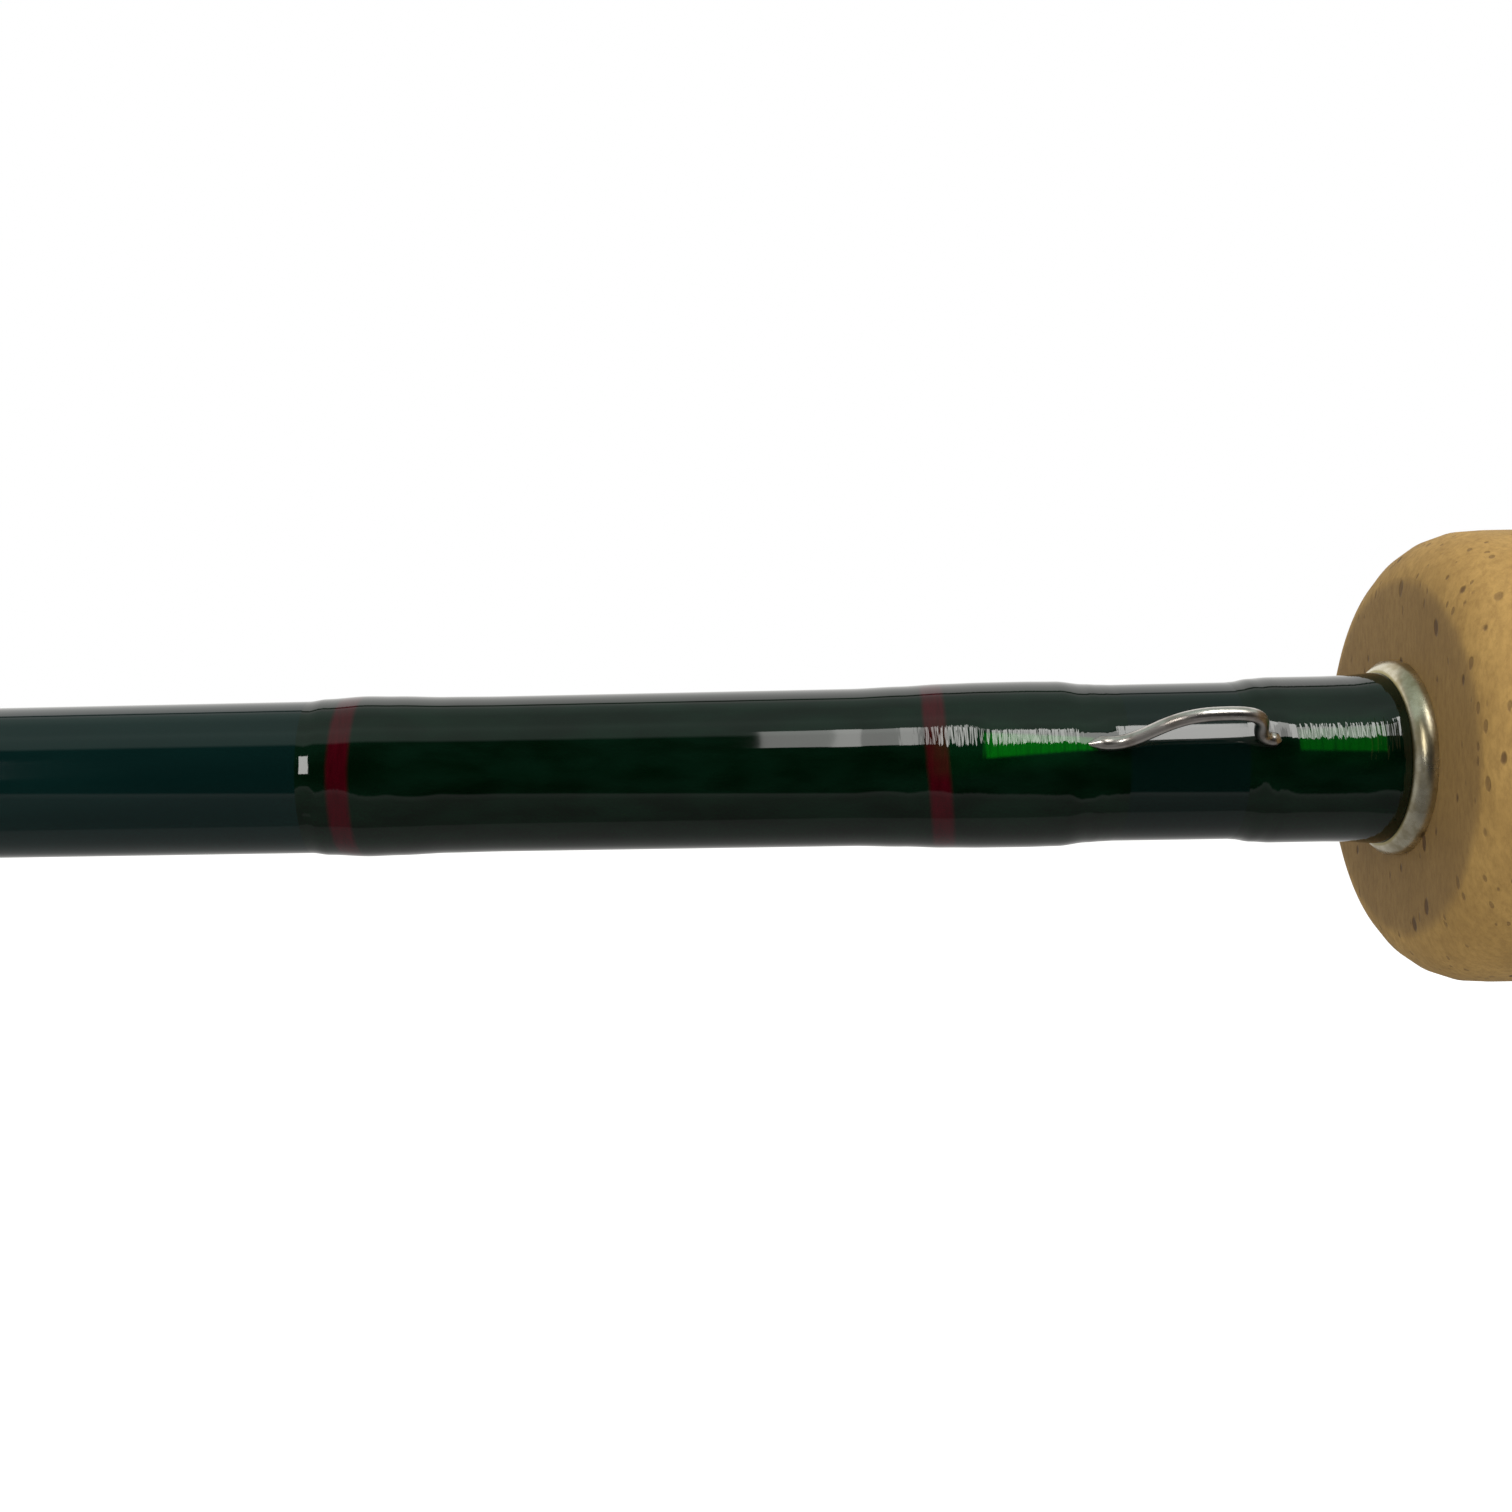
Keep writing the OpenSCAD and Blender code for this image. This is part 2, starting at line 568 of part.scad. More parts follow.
module snake_guide_wraps(i) color(THREAD) {
    k = snake_k(i);
    x = snake_x(i);
    near = snake_span(i) / 2 + wrap_lap;
    far = snake_span(i) / 2 + snake_foot(i);
    difference() {
        for (side = [-1, 1]) {
            ends = [side * near, side * (far + wrap_past)];
            wrap(k, x + min(ends), x + max(ends), wrap_t);
        }
        for (side = [-1, 1]) {
            ends = [side * (near - 1), side * (far + 0.1)];
            foot(k, x + min(ends), x + max(ends), snake_wire(i) + 0.35, 0, over_foot);
        }
    }
}

// ---- ferrule hoops and tip-top ----

module ferrule_wrap(k) color(THREAD)
    wrap(k, start_x(k) + 0.5, start_x(k) + 0.5 + ferrule_wrap_len, wrap_t);

module tip_top() color(WIRE) {
    tip_wire = 0.7;
    lean = 12;      // degrees from square to the rod
    bore = blank_r(3, rod_end - tip_tube_len) + glue_gap;
    outside = bore + 0.3;
    turned([[bore, rod_end - tip_tube_len], [outside, rod_end - tip_tube_len],
            [outside, rod_end + 0.6], [bore, rod_end + 1], [0, rod_end + 1],
            [0, rod_end + 0.1], [bore, rod_end + 0.1]]);
    translate([rod_end - 1, 0, -outside - tip_loop_r - tip_wire / 2]) rotate([0, 90 - lean, 0])
        rotate_extrude($fn = 48) translate([tip_loop_r + tip_wire / 2, 0])
            circle(d = tip_wire, $fn = 24);
}

module tip_top_wrap() color(THREAD) {
    x1 = rod_end - tip_tube_len - 0.1;
    wrap(3, x1 - 6, x1, wrap_t);
}

butt_cap();
threaded_barrel();
lock_nut();
sliding_hood();
wood_insert();
fixed_hood();
seat_bushings();
butt_blank();
lower_mid_blank();
upper_mid_blank();
tip_blank();
for (i = [1:cork_rings]) cork_ring(i);
winding_check();
hook_keeper();
keeper_rear_wrap();
keeper_front_wrap();
signature_wrap();
keeper_trim_bands();
stripping_guide_frame();
stripping_guide_ring();
stripping_guide_wraps();
for (i = [1:SNAKES]) {
    snake_guide(i);
    snake_guide_wraps(i);
}
for (k = [1:3]) ferrule_wrap(k);
tip_top();
tip_top_wrap();
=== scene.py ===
# %% [markdown]
# # A fly rod, looked at close
#
# The rod is built elsewhere as exact solids. This lesson gives it its looks: smooth lacquer over the
# graphite, thread under thick clear epoxy, cork, nickel silver and bright wire. Everything is in metres,
# the rod lies along X with its tip towards +X, and each new piece goes where the solids say.

# %% Load the rod
import bpy, bmesh, math
from mathutils import Matrix, Vector


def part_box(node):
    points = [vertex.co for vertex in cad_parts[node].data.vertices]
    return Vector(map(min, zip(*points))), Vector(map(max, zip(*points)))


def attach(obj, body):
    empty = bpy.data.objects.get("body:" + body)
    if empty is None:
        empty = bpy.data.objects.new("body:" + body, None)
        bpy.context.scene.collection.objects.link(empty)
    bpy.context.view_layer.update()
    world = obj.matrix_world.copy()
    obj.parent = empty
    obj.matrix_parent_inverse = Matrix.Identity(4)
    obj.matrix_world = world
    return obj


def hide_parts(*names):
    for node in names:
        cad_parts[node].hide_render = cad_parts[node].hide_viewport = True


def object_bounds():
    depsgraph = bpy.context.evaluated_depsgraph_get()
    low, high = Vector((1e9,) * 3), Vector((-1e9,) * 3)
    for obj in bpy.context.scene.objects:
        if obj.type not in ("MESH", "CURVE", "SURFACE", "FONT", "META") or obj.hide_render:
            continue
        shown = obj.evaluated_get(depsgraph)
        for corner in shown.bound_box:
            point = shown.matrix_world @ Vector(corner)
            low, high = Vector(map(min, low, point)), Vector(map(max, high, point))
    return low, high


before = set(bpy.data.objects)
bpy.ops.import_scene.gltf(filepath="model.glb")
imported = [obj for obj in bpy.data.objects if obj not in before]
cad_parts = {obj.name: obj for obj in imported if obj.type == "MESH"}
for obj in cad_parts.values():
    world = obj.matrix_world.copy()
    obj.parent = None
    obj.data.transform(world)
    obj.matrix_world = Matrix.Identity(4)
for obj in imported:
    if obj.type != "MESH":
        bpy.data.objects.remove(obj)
cad_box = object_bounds()
MM = 0.001
print("rod box in metres:", [tuple(round(v, 4) for v in corner) for corner in cad_box])

# %% [markdown]
# ## The camera
#
# A hand-held close-up of a thin rod is taken from a hand's breadth away, so near that the side of the rod
# facing the lens looks larger than its outline. That is perspective, and it depends on the distance alone,
# so the distance is settled first and the focal length after it. The lens looks almost square at the
# rod's side; a small shift, as on a view camera, frames the rod, and a small roll tilts it.

# %% Set up the camera
check_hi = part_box("winding_check")[1]
rear_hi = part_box("keeper_rear_wrap")[1]
CAMERA_AWAY, CAMERA_AHEAD = 0.1, 0.0334     # from the rod's axis, and past the rear wrap
CAMERA_TURN, CAMERA_ROLL = math.radians(181.0), math.radians(-1.046)
camera_data = bpy.data.cameras.new("close_up")
camera = bpy.data.objects.new("close_up", camera_data)
bpy.context.scene.collection.objects.link(camera)
bpy.context.scene.camera = camera
camera.location = (rear_hi.x + CAMERA_AHEAD, CAMERA_AWAY, 0.0)
camera.matrix_world = (Matrix.Translation(camera.location) @ Matrix.Rotation(CAMERA_TURN, 4, "Z")
                       @ Matrix.Rotation(math.pi / 2, 4, "X") @ Matrix.Rotation(CAMERA_ROLL, 4, "Z"))
camera_data.lens, camera_data.sensor_width = 39.43, 36
camera_data.shift_x, camera_data.shift_y = 0.0628, 0.0099
camera_data.clip_start, camera_data.clip_end = 0.002, 50
print("camera at", [round(v, 4) for v in camera.location], "lens", camera_data.lens)

# %% [markdown]
# ## Values that can be reckoned with
#
# A finish is a small network of nodes, and wiring it by hand hides the sums in it. Here one class holds a
# value on its way through the network, so that a sum can be written as a sum. `step` adds every other kind
# of node: its settings go in first, then what its sockets take.

# %% A recipe for a finish
class Value:
    def __init__(self, recipe, socket):
        self.recipe, self.socket = recipe, socket

    def maths(self, operation, *others):
        return self.recipe.step("ShaderNodeMath", {"operation": operation},
                                dict(enumerate((self,) + others)))

    def __add__(self, other): return self.maths("ADD", other)
    def __radd__(self, other): return self.maths("ADD", other)
    def __sub__(self, other): return self.maths("SUBTRACT", other)
    def __rsub__(self, other): return (self * -1).maths("ADD", other)
    def __mul__(self, other): return self.maths("MULTIPLY", other)
    def __rmul__(self, other): return self.maths("MULTIPLY", other)
    def __truediv__(self, other): return self.maths("DIVIDE", other)
    def __pow__(self, other): return self.maths("POWER", other)

    def over(self, edge, soft):
        """0 below the edge and 1 above it, with a soft step between."""
        return self.recipe.step("ShaderNodeMapRange", {"interpolation_type": "SMOOTHSTEP"},
                                {"Value": self, "From Min": edge - soft / 2, "From Max": edge + soft / 2})

    def between(self, low, high, soft):
        return self.over(low, soft) * (1 - self.over(high, soft))


class Recipe:
    def __init__(self, tree):
        self.tree = tree
        tree.nodes.clear()

    def step(self, kind, settings=None, inputs=None, output=0):
        node = self.tree.nodes.new(kind)
        for key, value in (settings or {}).items():
            if key == "stops":
                ramp = node.color_ramp
                while len(ramp.elements) > 1:
                    ramp.elements.remove(ramp.elements[-1])
                for i, (place, colour) in enumerate(value):
                    stop = ramp.elements[0] if i == 0 else ramp.elements.new(place)
                    stop.position, stop.color = place, (*colour, 1)
            else:
                setattr(node, key, value)
        for key, value in (inputs or {}).items():
            if isinstance(value, Value):
                self.tree.links.new(value.socket, node.inputs[key])
            else:
                node.inputs[key].default_value = value
        return Value(self, node.outputs[output]) if len(node.outputs) else node

    def place(self, space="Object"):
        """Where a point of the surface is, in metres along X, Y and Z; in a world, which way one looks."""
        spot = self.step("ShaderNodeTexCoord", output=space)
        return [self.step("ShaderNodeSeparateXYZ", {}, {0: spot}, axis) for axis in range(3)]

    def point(self, x, y, z):
        return self.step("ShaderNodeCombineXYZ", {}, {0: x, 1: y, 2: z})

    def blend(self, share, first, second):
        def whole(colour):
            return colour if isinstance(colour, Value) else (*colour, 1)
        return self.step("ShaderNodeMix", {"data_type": "RGBA"},
                         {0: share, 6: whole(first), 7: whole(second)}, 2)

    def cloud(self, x, y, z, detail, roughness=0.5):
        """Noise; the more a place has been multiplied along X, Y or Z, the finer it is that way."""
        return self.step("ShaderNodeTexNoise", {}, {"Vector": self.point(x, y, z), "Scale": 1.0,
                                                    "Detail": detail, "Roughness": roughness})

    def cells(self, where, scale, lots=1):
        """How far the nearest spot of a Voronoi pattern is, and the lots that its cell has drawn."""
        away = self.step("ShaderNodeTexVoronoi", {"feature": "F1"},
                         {"Vector": where, "Scale": scale}, "Distance")
        drawn = Value(self, away.socket.node.outputs["Color"])
        return [away] + [self.step("ShaderNodeSeparateColor", {}, {0: drawn}, i) for i in range(lots)]

    def finish(self, bump, **sockets):
        """The surface itself; names use _ for a space, and bump is a height and how much of it shows."""
        inputs = {name.replace("_", " "): value for name, value in sockets.items()}
        inputs["Normal"] = self.step("ShaderNodeBump", {},
                                     {"Height": bump[0], "Strength": bump[1], "Distance": 1.0})
        surface = self.step("ShaderNodeBsdfPrincipled", {}, inputs)
        self.step("ShaderNodeOutputMaterial", {}, {"Surface": surface})


def new_finish(name):
    material = bpy.data.materials.new(name)
    material.use_nodes = True
    return material, Recipe(material.node_tree)


# %% [markdown]
# ## Light and background
#
# Gloss is nothing but what it mirrors, so a dark lacquered rod is lit by what stands round it. A sheet of
# pale paper goes up behind and over it, the side of the room where one stands stays dim, and a row of lamp
# panels shines from the front, above, brightest in its middle. The world holds the paper and the dim room as
# bands round the rod's length: an angle of 0 looks towards the camera's side, a quarter turn looks up, and
# half a turn looks behind. What comes from above is tinted green, as by leaves. The edge of the table, low in
# front, runs askew to the rod, so its band is turned a little along the way. Rays that leave nearly along the
# rod meet a middle grey, so that metal seen from its end isn't black. The paper is plain white to the eye,
# and the floor under the rod is pale and takes its shadow.

# %% Paint the room round the rod
bpy.context.scene.view_settings.view_transform = "Standard"
world = bpy.data.worlds.new("room")
bpy.context.scene.world = world
world.use_nodes = True
room = Recipe(world.node_tree)
aside, ahead, up = room.place("Generated")
across = ((ahead * ahead + up * up) ** 0.5).maths("MAXIMUM", 0.05)
askew = (aside / across).maths("MAXIMUM", -0.5).maths("MINIMUM", 0.5)
round_rod = up.maths("ARCTAN2", ahead)
TABLE_LOW, TABLE_HIGH, TABLE_SOFT, TABLE_ASKEW = (math.radians(a) for a in (-66, -6, 16, 40))
table = round_rod.between(TABLE_LOW, TABLE_HIGH, TABLE_SOFT)
turn = (round_rod - askew * table * TABLE_ASKEW) / (2 * math.pi) + 0.5


def band(degrees):
    return degrees / 360 + 0.5


# how bright the room is at each angle, in degrees round the rod
levels = [(-180, 0.8), (-140, 0.33), (-110, 0.25), (-79, 0.25), (-77.5, 0.13), (-58, 0.15), (-42, 0.18),
          (-35, 0.3), (-32.5, 0.01), (0, 0.0), (48, 0.01), (52, 0.46), (63, 0.5), (70, 0.56), (77, 0.46),
          (95, 0.38), (112, 0.46), (118.2, 0.6), (119.0, 0.0), (122.0, 0.0), (122.8, 1.0), (180, 1.0)]
PAPER_TINT, LEAF_TINT, END_GREY = (1.0, 0.99, 0.97), (0.84, 1.0, 0.92), (0.38, 0.38, 0.37)
MATT_LIGHT = 0.62       # how bright the room is to what isn't glossy
tints = [LEAF_TINT if 50 < a < 115 else PAPER_TINT for a, _ in levels]
mirrored = room.step("ShaderNodeValToRGB", {"stops": [
    (band(a), tuple(level * t for t in tint)) for (a, level), tint in zip(levels, tints)]}, {0: turn})
far_ends = aside.maths("ABSOLUTE").over(0.86, 0.16)
mirrored = room.blend(far_ends, mirrored, END_GREY)
seen = room.step("ShaderNodeBackground", {}, {"Color": (1, 1, 1, 1), "Strength": 1.0})
shining = room.step("ShaderNodeBackground", {}, {"Color": mirrored, "Strength": 1.0})
soft = room.step("ShaderNodeBackground", {}, {"Color": (*PAPER_TINT, 1), "Strength": MATT_LIGHT})
ray = {name: room.step("ShaderNodeLightPath", output=name)
       for name in ("Is Camera Ray", "Is Glossy Ray", "Is Transmission Ray")}
first = room.step("ShaderNodeMixShader", {}, {0: ray["Is Glossy Ray"], 1: soft, 2: shining})
second = room.step("ShaderNodeMixShader", {},
                   {0: ray["Is Camera Ray"].maths("MAXIMUM", ray["Is Transmission Ray"]),
                    1: first, 2: seen})
room.step("ShaderNodeOutputWorld", {}, {"Surface": second})
print("bands in the room:", len(levels))

# %% Hang the lamps
def lamp(name, x, angle, away, length, width, brightness):
    """A flat lamp along X, at an angle round the rod; brightness is what its face shines with."""
    data = bpy.data.lights.new(name, "AREA")
    data.shape, data.size, data.size_y = "RECTANGLE", length, width
    data.energy = brightness * math.pi * length * width
    data.color = (1.0, 0.99, 0.96)
    place = Vector((x, away * math.cos(angle), away * math.sin(angle)))
    obj = bpy.data.objects.new(name, data)
    bpy.context.scene.collection.objects.link(obj)
    facing = (place - Vector((x, 0, 0))).normalized()
    across = Vector((1, 0, 0))
    obj.matrix_world = Matrix.Translation(place) @ Matrix(
        (across, facing.cross(across), facing)).transposed().to_4x4()
    return obj


# the row of panels: where each starts and ends past the rear wrap, its angle, its width, its brightness
PANEL_AWAY = 0.45
PANELS = [(-0.36, -0.15, 38.5, 0.15, 4.6), (-0.15, -0.065, 41.5, 0.21, 9.0),
          (-0.065, -0.012, 43.0, 0.21, 6.0), (-0.012, 0.012, 43.0, 0.2, 3.6)]
for i, (start, end, angle, width, brightness) in enumerate(PANELS):
    lamp(f"panel_{i + 1}", rear_hi.x + (start + end) / 2, math.radians(angle), PANEL_AWAY, end - start,
         width, brightness)
lamp("small_lamp", x=rear_hi.x + 0.325, angle=math.radians(19.2), away=0.454, length=0.09, width=0.22,
     brightness=9.0)
ceiling = lamp("ceiling_lamp", x=1.35, angle=math.radians(82), away=1.5, length=3.2, width=0.5,
               brightness=1.3)
ceiling.visible_glossy = False      # it lights the cork and leaves the gloss to the room
print("lamps:", len(PANELS) + 2)

# %% Lay the floor
FLOOR_LEVEL, FLOOR_SIZE, FLOOR_GLOW = -0.075, 24, 0.72
bpy.ops.object.select_all(action="DESELECT")
bpy.ops.mesh.primitive_plane_add(size=FLOOR_SIZE, location=(cad_box[1].x / 2, 0, FLOOR_LEVEL))
floor = bpy.context.object
floor.name = "floor"
floor.visible_glossy = False
paper, recipe = new_finish("floor_paper")
paler = recipe.step("ShaderNodeLightPath", output="Is Camera Ray")
matt = recipe.step("ShaderNodeBsdfDiffuse", {}, {"Color": (0.6, 0.6, 0.59, 1)})
glow = recipe.step("ShaderNodeEmission", {}, {"Color": (1, 1, 1, 1), "Strength": FLOOR_GLOW * paler})
both = recipe.step("ShaderNodeAddShader", {}, {0: matt, 1: glow})
recipe.step("ShaderNodeOutputMaterial", {}, {"Surface": both})
floor.data.materials.append(paper)
print("floor", FLOOR_LEVEL, "m from the rod's axis")

# %% [markdown]
# ## Turning on a lathe
#
# Blank, wraps, check, cork rings and seat are all turned about the rod's axis, and Spin does what a lathe
# does. The outline is drawn as a chain of points in the plane through the axis, each one pulled out of the
# last by an extrusion, and one whole turn of it makes the surface. Then the seam is merged, the normals are
# made to point outwards, and edges sharper than a given angle stay crisp.

# %% A lathe
SIDES = 96
ONE_POINT = 2e-7        # points nearer than this are one


def start_piece(name):
    bpy.ops.object.select_all(action="DESELECT")
    bpy.ops.mesh.primitive_plane_add(size=0.01)
    piece = bpy.context.object
    piece.name = piece.data.name = name
    return piece


def settle(piece, sharp):
    """Close the seams, turn the faces outwards and smooth the piece up to an angle."""
    bpy.ops.mesh.select_all(action="SELECT")
    bpy.ops.mesh.remove_doubles(threshold=ONE_POINT)
    bpy.ops.mesh.normals_make_consistent(inside=False)
    bpy.ops.object.mode_set(mode="OBJECT")
    bpy.ops.object.shade_smooth_by_angle(angle=math.radians(sharp))
    return piece


def draw_outline(piece, points, drop):
    """Leaves one chain of points, (station, radius), in the plane Y = 0."""
    bpy.ops.object.mode_set(mode="EDIT")
    bpy.ops.mesh.select_mode(type="VERT")
    bpy.ops.mesh.select_all(action="SELECT")
    bpy.ops.mesh.merge(type="CENTER")
    x, r = points[0]
    bpy.ops.transform.translate(value=(x, 0, r - drop))
    for (x0, r0), (x1, r1) in zip(points, points[1:]):
        bpy.ops.mesh.extrude_vertices_move(TRANSFORM_OT_translate={"value": (x1 - x0, 0, r1 - r0)})


def turned(name, outer, bore, sharp=35.0, sides=SIDES, drop=0.0):
    """A turned sleeve: its outside from left to right, then its bore from right to left. A chain that
    starts and ends on the axis stays open. The axis may lie below the rod's by a drop."""
    piece = start_piece(name)
    chain = list(outer) + list(bore)
    solid = chain[0][1] == 0 and chain[-1][1] == 0
    draw_outline(piece, chain if solid else chain + [chain[0]], drop)
    bpy.ops.mesh.select_all(action="SELECT")
    bpy.ops.mesh.remove_doubles(threshold=ONE_POINT)
    bpy.ops.mesh.select_all(action="SELECT")
    bpy.ops.mesh.spin(steps=sides, angle=2 * math.pi, center=(0, 0, -drop), axis=(1, 0, 0))
    return settle(piece, sharp)


def rings_of(node):
    """The radii that a turned solid has at each of its stations, read from the solid itself."""
    rings = {}
    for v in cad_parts[node].data.vertices:
        rings.setdefault(round(v.co.x, 6), set()).add(round(math.hypot(v.co.y, v.co.z), 6))
    return {x: sorted(rings[x]) for x in sorted(rings)}


def dress(piece, body, finish, slot, *nodes):
    """Puts a finish on a piece, sets it on its body and lets it stand for its solids."""
    piece.data.materials.clear()
    piece.data.materials.append(finish)
    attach(piece, body)
    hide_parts(*nodes)
    print(f"{piece.name}: {len(piece.data.polygons)} faces")


# %% [markdown]
# ## The blank's lacquer
#
# A graphite blank is a thin tapered tube, sanded smooth and dipped in coloured lacquer. This one is so dark
# a blue-green that most of what one sees is the room in its gloss. Under the clear top the colour clouds a
# little along the tube and deepens towards the grip, and dust that fell in while it dried stands up as tiny
# pale specks.

# %% Mix the lacquer
TEAL, TEAL_DEEP = (0.0021, 0.0135, 0.0124), (0.0014, 0.0098, 0.0092)
TEAL_AT_GRIP = (0.0008, 0.0060, 0.0046)
PALE_DUST, GRAINS, SPARED = (0.3, 0.32, 0.3), 420.0, 0.93
blank_lacquer, recipe = new_finish("lacquered_graphite")
x, y, z = recipe.place()
along = recipe.cloud(x * 60, y * 300, z * 300, 3.0)
base = recipe.blend(along.over(0.5, 0.5), TEAL_DEEP, TEAL)
base = recipe.blend(x.over(0.345, 0.09), TEAL_AT_GRIP, base)
grain_away, lot = recipe.cells(recipe.point(x, y, z), GRAINS)
dust = lot.over(SPARED, 0.01) * (1 - grain_away.over(0.05, 0.03))
peel = recipe.cloud(x * 350, y * 350, z * 350, 1.0)
recipe.finish(Base_Color=recipe.blend(dust * 0.5, base, PALE_DUST), Roughness=0.06 + dust * 0.3,
              bump=(peel * 0.000012 + dust * 0.00003, 0.35))

# %% Turn the four blanks
TAPER_STEPS, THIN_WALL = 24, 0.3 * MM
BLANKS = {"butt_blank": "butt_section", "lower_mid_blank": "lower_mid_section",
          "upper_mid_blank": "upper_mid_section", "tip_blank": "tip_section"}


def tube_wall(node):
    """The outside of a tapered tube as two points, and its bore with the step where a sleeve ends."""
    rings = rings_of(node)
    first, last = min(rings), max(rings)
    outer = [(first, rings[first][-1]), (last, rings[last][-1])]
    bore = [(last, rings[last][0])]
    for x in sorted(rings, reverse=True):
        inside = [r for r in rings[x] if r < outer[0][1] + (outer[1][1] - outer[0][1])
                  * (x - first) / (last - first) - THIN_WALL]
        if first < x < last and len(inside) > 1 and inside[-1] - inside[0] > 0.005 * MM:
            bore += [(x, inside[0]), (x, inside[-1])]
    return outer, bore + [(first, rings[first][0])]


def along_taper(outer, steps):
    (x0, r0), (x1, r1) = outer
    return [(x0 + (x1 - x0) * i / steps, r0 + (r1 - r0) * i / steps) for i in range(steps + 1)]


TAPERS = {}
for node, body in BLANKS.items():
    TAPERS[node], bore = tube_wall(node)
    tube = turned("shown_" + node, along_taper(TAPERS[node], TAPER_STEPS), bore)
    dress(tube, body, blank_lacquer, "blank_lacquer", node)


def radius_on(node, x):
    (x0, r0), (x1, r1) = TAPERS[node]
    return r0 + (r1 - r0) * (x - x0) / (x1 - x0)


def blank_radius(x):
    return radius_on("butt_blank", x)


print("blank at the check:", round(blank_radius(check_hi.x) * 2000, 3), "mm across")

# %% [markdown]
# ## Thread under epoxy
#
# A guide or a keeper is held by fine silk or nylon thread, wound turn against turn, then flooded with clear
# epoxy while the rod turns. The epoxy hides the turns and leaves one glassy coat with soft shoulders. Light
# goes through it to the thread: dark green here, crimson in the two trim bands. Where a bright metal foot
# lies under the thread, the light it sends back is painted into the thread's colour as a green glow, and over
# the foot the coat is thin, so the turns show in the gloss.
#
# The colour is laid on by station along the rod, the painted glow of the feet by station and by angle round
# it, and the turns are ridges round the rod, drawn by noise that changes fast along X and hardly at all round
# the rod.

# %% Mix thread and epoxy
DARK_GREEN, GREEN_DEEP = (0.0012, 0.0085, 0.0038), (0.0002, 0.0035, 0.0010)
# the last colour on the next line is a painted glow: the light a bright metal foot under the thread sends
# back
CRIMSON, MAROON, PAINTED_FOOT_GLOW = (0.045, 0.0008, 0.004), (0.018, 0.0004, 0.0016), (0.001, 0.115, 0.004)
# a fainter painted glow: the light from the same foot, spilling into the thread beside it
PAINTED_GLOW_BESIDE_FOOT = (0.0008, 0.032, 0.007)
RIDGE, FOOT_RIDGE = 0.006 * MM, 0.065 * MM     # how high the turns stand, in general and over a foot
DOWN = -math.pi / 2


def thread_finish(name, bands=(), feet=(), smooth=None, way=DOWN):
    """bands are (station, half width, share of Y, share of Z); smooth is a stretch of X; feet are (x0, x1,
    half width in radians at x0, at x1, strength of the painted glow that stands for light from the metal
    foot, stretch of X where the turns show in the gloss); way is the side of the rod that the feet lie on."""
    material, recipe = new_finish(name)
    x, y, z = recipe.place()
    side, lift = math.cos(way), math.sin(way)
    angle = (z * side - y * lift).maths("ARCTAN2", y * side + z * lift)
    turns = recipe.cloud(x * 5200, angle * 3.2, 0.0, 1.0)
    flow = recipe.cloud(x * 260, angle * 3.0, 0.0, 2.0)
    colour = recipe.blend(flow.over(0.5, 0.5), GREEN_DEEP, DARK_GREEN)
    for middle, half, by_y, by_z in bands:
        wander = x + y * by_y + z * by_z + (flow - 0.5) * 0.00008
        red = wander.between(middle - half, middle + half, 0.00035)
        colour = recipe.blend(red, colour, recipe.blend(turns, MAROON, CRIMSON))
    height = (turns - 0.5) * RIDGE
    if smooth:
        height = height * (1 - x.between(*smooth, 0.0016))
    for low, high, half_low, half_high, bright, streaks in feet:
        share = (x - low) / (high - low)
        half = share * (half_high - half_low) + half_low
        off = angle.maths("ABSOLUTE") - half
        # the painted glow over a foot: light sent back by the metal under the thread, painted bright green
        # and streaked by the turns
        shape = (1 - off.over(0.0, 0.05)) * (x + (turns - 0.5) * 0.0005).between(low, high, 0.0003)
        glow = (shape * (turns * 1.1 + 0.35)).maths("MINIMUM", 1.0) * bright
        colour = recipe.blend(glow, colour, PAINTED_FOOT_GLOW)
        near = (1 - off.over(0.12, 0.3)) * x.between(*streaks, 0.0014)
        height = height + near * (turns - 0.5) * FOOT_RIDGE
        # a fainter painted glow beside the foot, where the light from the metal spills through the thread
        colour = recipe.blend(near * flow * (1 - shape) * 0.5, colour, PAINTED_GLOW_BESIDE_FOOT)
    peel = recipe.cloud(x * 300, y * 420, z * 420, 1.0)
    recipe.finish(Base_Color=colour, Roughness=0.03 + turns * 0.02,
                  bump=(height + peel * 0.00001, 0.6))
    return material


# %% [markdown]
# ## The coats between grip and tip
#
# The solids give each wrap as a plain sleeve, and the trim bands as sleeves of their own. On the rod they
# lie under one coat of epoxy, thick over thread, hardly there over the bare stretch kept for the maker's
# writing, which is left empty. So one turned coat stands for all of them: its thickness is given along the
# rod, eased between the points. Where it runs over a foot of the keeper it is pulled out with a soft
# brush, which is Move with proportional editing.

# %% Turn the coats
KEEPER_WAY = math.radians(13)
front_lo, front_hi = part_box("keeper_front_wrap")
long_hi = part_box("signature_wrap")[1]


def pick(*pieces):
    """Selects these pieces and no others; the first is the active one."""
    bpy.ops.object.select_all(action="DESELECT")
    for piece in pieces:
        piece.select_set(True)
    bpy.context.view_layer.objects.active = pieces[0]


def choose(piece, test):
    """Goes into edit mode and selects the points that pass a test."""
    bpy.ops.object.mode_set(mode="EDIT")
    bpy.ops.mesh.select_all(action="DESELECT")
    mesh = bmesh.from_edit_mesh(piece.data)
    for v in mesh.verts:
        v.select_set(test(v.co))
    bmesh.update_edit_mesh(piece.data)


